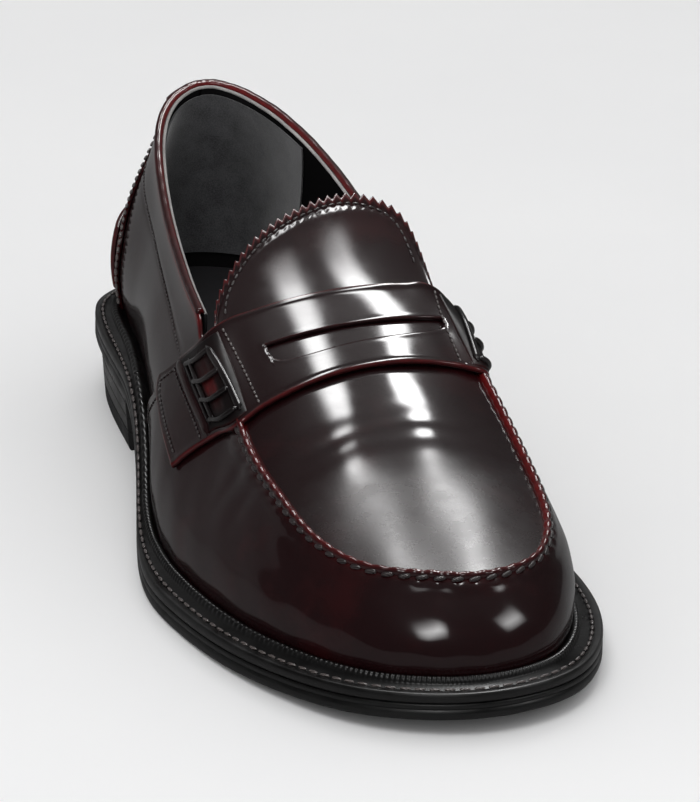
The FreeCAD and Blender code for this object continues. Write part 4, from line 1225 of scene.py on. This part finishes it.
def dress_kept_nodes():
    """Real materials on the inside pieces that stay as the design has them."""
    for name, material in KEPT.items():
        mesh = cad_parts[name].data
        mesh.materials.clear()
        mesh.materials.append(material)


# ---------------------------------------------------------------- floor, light and camera
SHOE_MIDDLE = (0.0, -0.11, 0.04)


def softbox(name, size, spot, brightness, turned=None, only_shine=True, fade=(0.3, 0.3)):
    """Rectangular light fading at its edges.  Unless turned by angles, it aims at the shoe."""
    light = bpy.data.lights.new(name, "AREA")
    light.shape = "RECTANGLE"
    light.size, light.size_y = size
    light.energy = brightness * size[0] * size[1] * math.pi
    light.use_nodes = True
    tree = light.node_tree
    spread = node(tree, "ShaderNodeNewGeometry").outputs["Parametric"]
    axes = node(tree, "ShaderNodeSeparateXYZ", {0: spread}).outputs
    fades = []
    for k in (0, 1):
        off_middle = calc(tree, "ABSOLUTE", calc(tree, "SUBTRACT", axes[k], 0.5), 0.0)
        fades.append(ramp(tree, off_middle, 0.5 - fade[k], 0.5, 1.0, 0.0))
    tree.links.new(calc(tree, "MULTIPLY", *fades), tree.nodes["Emission"].inputs["Strength"])
    lamp = bpy.data.objects.new(name, light)
    bpy.context.scene.collection.objects.link(lamp)
    lamp.location = spot
    if turned is not None:
        lamp.rotation_euler = [math.radians(angle) for angle in turned]
    else:
        lamp.rotation_mode = "QUATERNION"
        lamp.rotation_quaternion = (Vector(SHOE_MIDDLE) - Vector(spot)).to_track_quat("-Z", "Y")
    lamp.visible_diffuse = not only_shine
    lamp.visible_glossy = only_shine
    return lamp


def make_stage():
    """Pale floor that sweeps up behind the shoe, darker where polished leather mirrors it."""
    material, tree, shader, where = blank("pale_paper", Roughness=0.7)
    tone = blend_colour(tree, noise(tree, where, 6.0), srgb(236, 236, 237), srgb(243, 243, 243))
    mirrored_ray = node(tree, "ShaderNodeLightPath").outputs["Is Glossy Ray"]
    seen = ramp(tree, mirrored_ray, 0.0, 1.0, 0.0, 0.75)
    tree.links.new(blend_colour(tree, seen, tone, srgb(20, 17, 18)), shader.inputs["Base Color"])
    bump(tree, shader, noise(tree, where, 900.0), 0.05, 0.0002)
    outline = [(-3.0, 0.0)] + [(1.2 + 0.8 * math.sin(a), 0.8 - 0.8 * math.cos(a))
                               for a in np.linspace(0, math.pi / 2, 16)] + [(2.0, 1.3)]
    mesh = bpy.data.meshes.new("paper_sweep")
    verts = [(x, y, z) for x in (-3.0, 3.0) for y, z in outline]
    count = len(outline)
    mesh.from_pydata(verts, [], [(i, i + count, i + count + 1, i + 1) for i in range(count - 1)])
    mesh.shade_smooth()
    mesh.materials.append(material)
    sweep = bpy.data.objects.new("paper_sweep", mesh)
    bpy.context.scene.collection.objects.link(sweep)


def make_world():
    """Bright room for matte surfaces and the background, dark room in reflections."""
    world = bpy.data.worlds.new("soft_room")
    bpy.context.scene.world = world
    world.use_nodes = True
    tree = world.node_tree
    background = tree.nodes["Background"]
    background.inputs["Color"].default_value = (1, 1, 1, 1)
    mirrored_ray = node(tree, "ShaderNodeLightPath").outputs["Is Glossy Ray"]
    tree.links.new(ramp(tree, mirrored_ray, 0.0, 1.0, 0.8, 0.05), background.inputs["Strength"])
    world.cycles.sampling_method = "NONE"
    bpy.context.scene.view_settings.view_transform = "Standard"


def make_lights():
    """Two long strips overhead, two boxes in front of the toe, and one soft key for shadows."""
    long_ways, all_round = (0.3, 0.15), (0.5, 0.5)
    softbox("strip_over_middle", (0.18, 1.34), (0.11, 0.31, 1.4), 22, turned=(0, 0, -4), fade=long_ways)
    softbox("strip_over_inner_side", (0.18, 1.55), (0.58, 0.40, 1.4), 34, turned=(0, 20, -18),
            fade=long_ways)
    softbox("toe_box_outer", (0.40, 0.75), (-0.46, -1.15, 1.05), 17, fade=all_round)
    softbox("toe_box_inner", (0.40, 0.60), (0.95, -0.95, 0.95), 12, fade=all_round)
    softbox("key", (0.9, 0.9), (-0.5, -0.7, 1.6), 6, only_shine=False)


CAMERA_AZIMUTH = math.radians(-18.24)
CAMERA_ELEVATION = math.radians(21.68)
CAMERA_ROLL = math.radians(0.94)
CAMERA_DISTANCE = 1264.9
CAMERA_TARGET = (12.2, -115.8, 40.6)
LENS = 192.9


def make_camera():
    """Long lens from in front of the outer side, a little above the shoe."""
    a, e, roll = CAMERA_AZIMUTH, CAMERA_ELEVATION, CAMERA_ROLL
    back = Vector((math.sin(a) * math.cos(e), -math.cos(a) * math.cos(e), math.sin(e)))
    level = Vector((math.cos(a), math.sin(a), 0))
    upright = back.cross(level)
    right = level * math.cos(roll) + upright * math.sin(roll)
    up = upright * math.cos(roll) - level * math.sin(roll)
    data = bpy.data.cameras.new("camera")
    camera = bpy.data.objects.new("camera", data)
    bpy.context.scene.collection.objects.link(camera)
    spot = to_frame(np.array(CAMERA_TARGET) + np.array(back) * CAMERA_DISTANCE)[0]
    turned = Matrix((right, up, back)).transposed().to_4x4()
    camera.matrix_world = Matrix.Translation(Vector(spot)) @ turned
    data.sensor_width, data.lens = 36.0, LENS
    data.clip_start, data.clip_end = 0.05, 20.0
    bpy.context.scene.camera = camera


make_outsole()
make_welt()
make_heel()
make_vamp()
make_quarters()
make_heel_cover()
make_collar()
make_apron()
make_seam()
make_tongue()
make_tongue_stitches()
make_strap()
make_slot_backing()
for side, name in SIDES:
    make_roll(side, name)
    make_strap_stitches(side, name)
    make_wall_stitches(side, name)
dress_kept_nodes()
make_stage()
make_world()
make_lights()
make_camera()
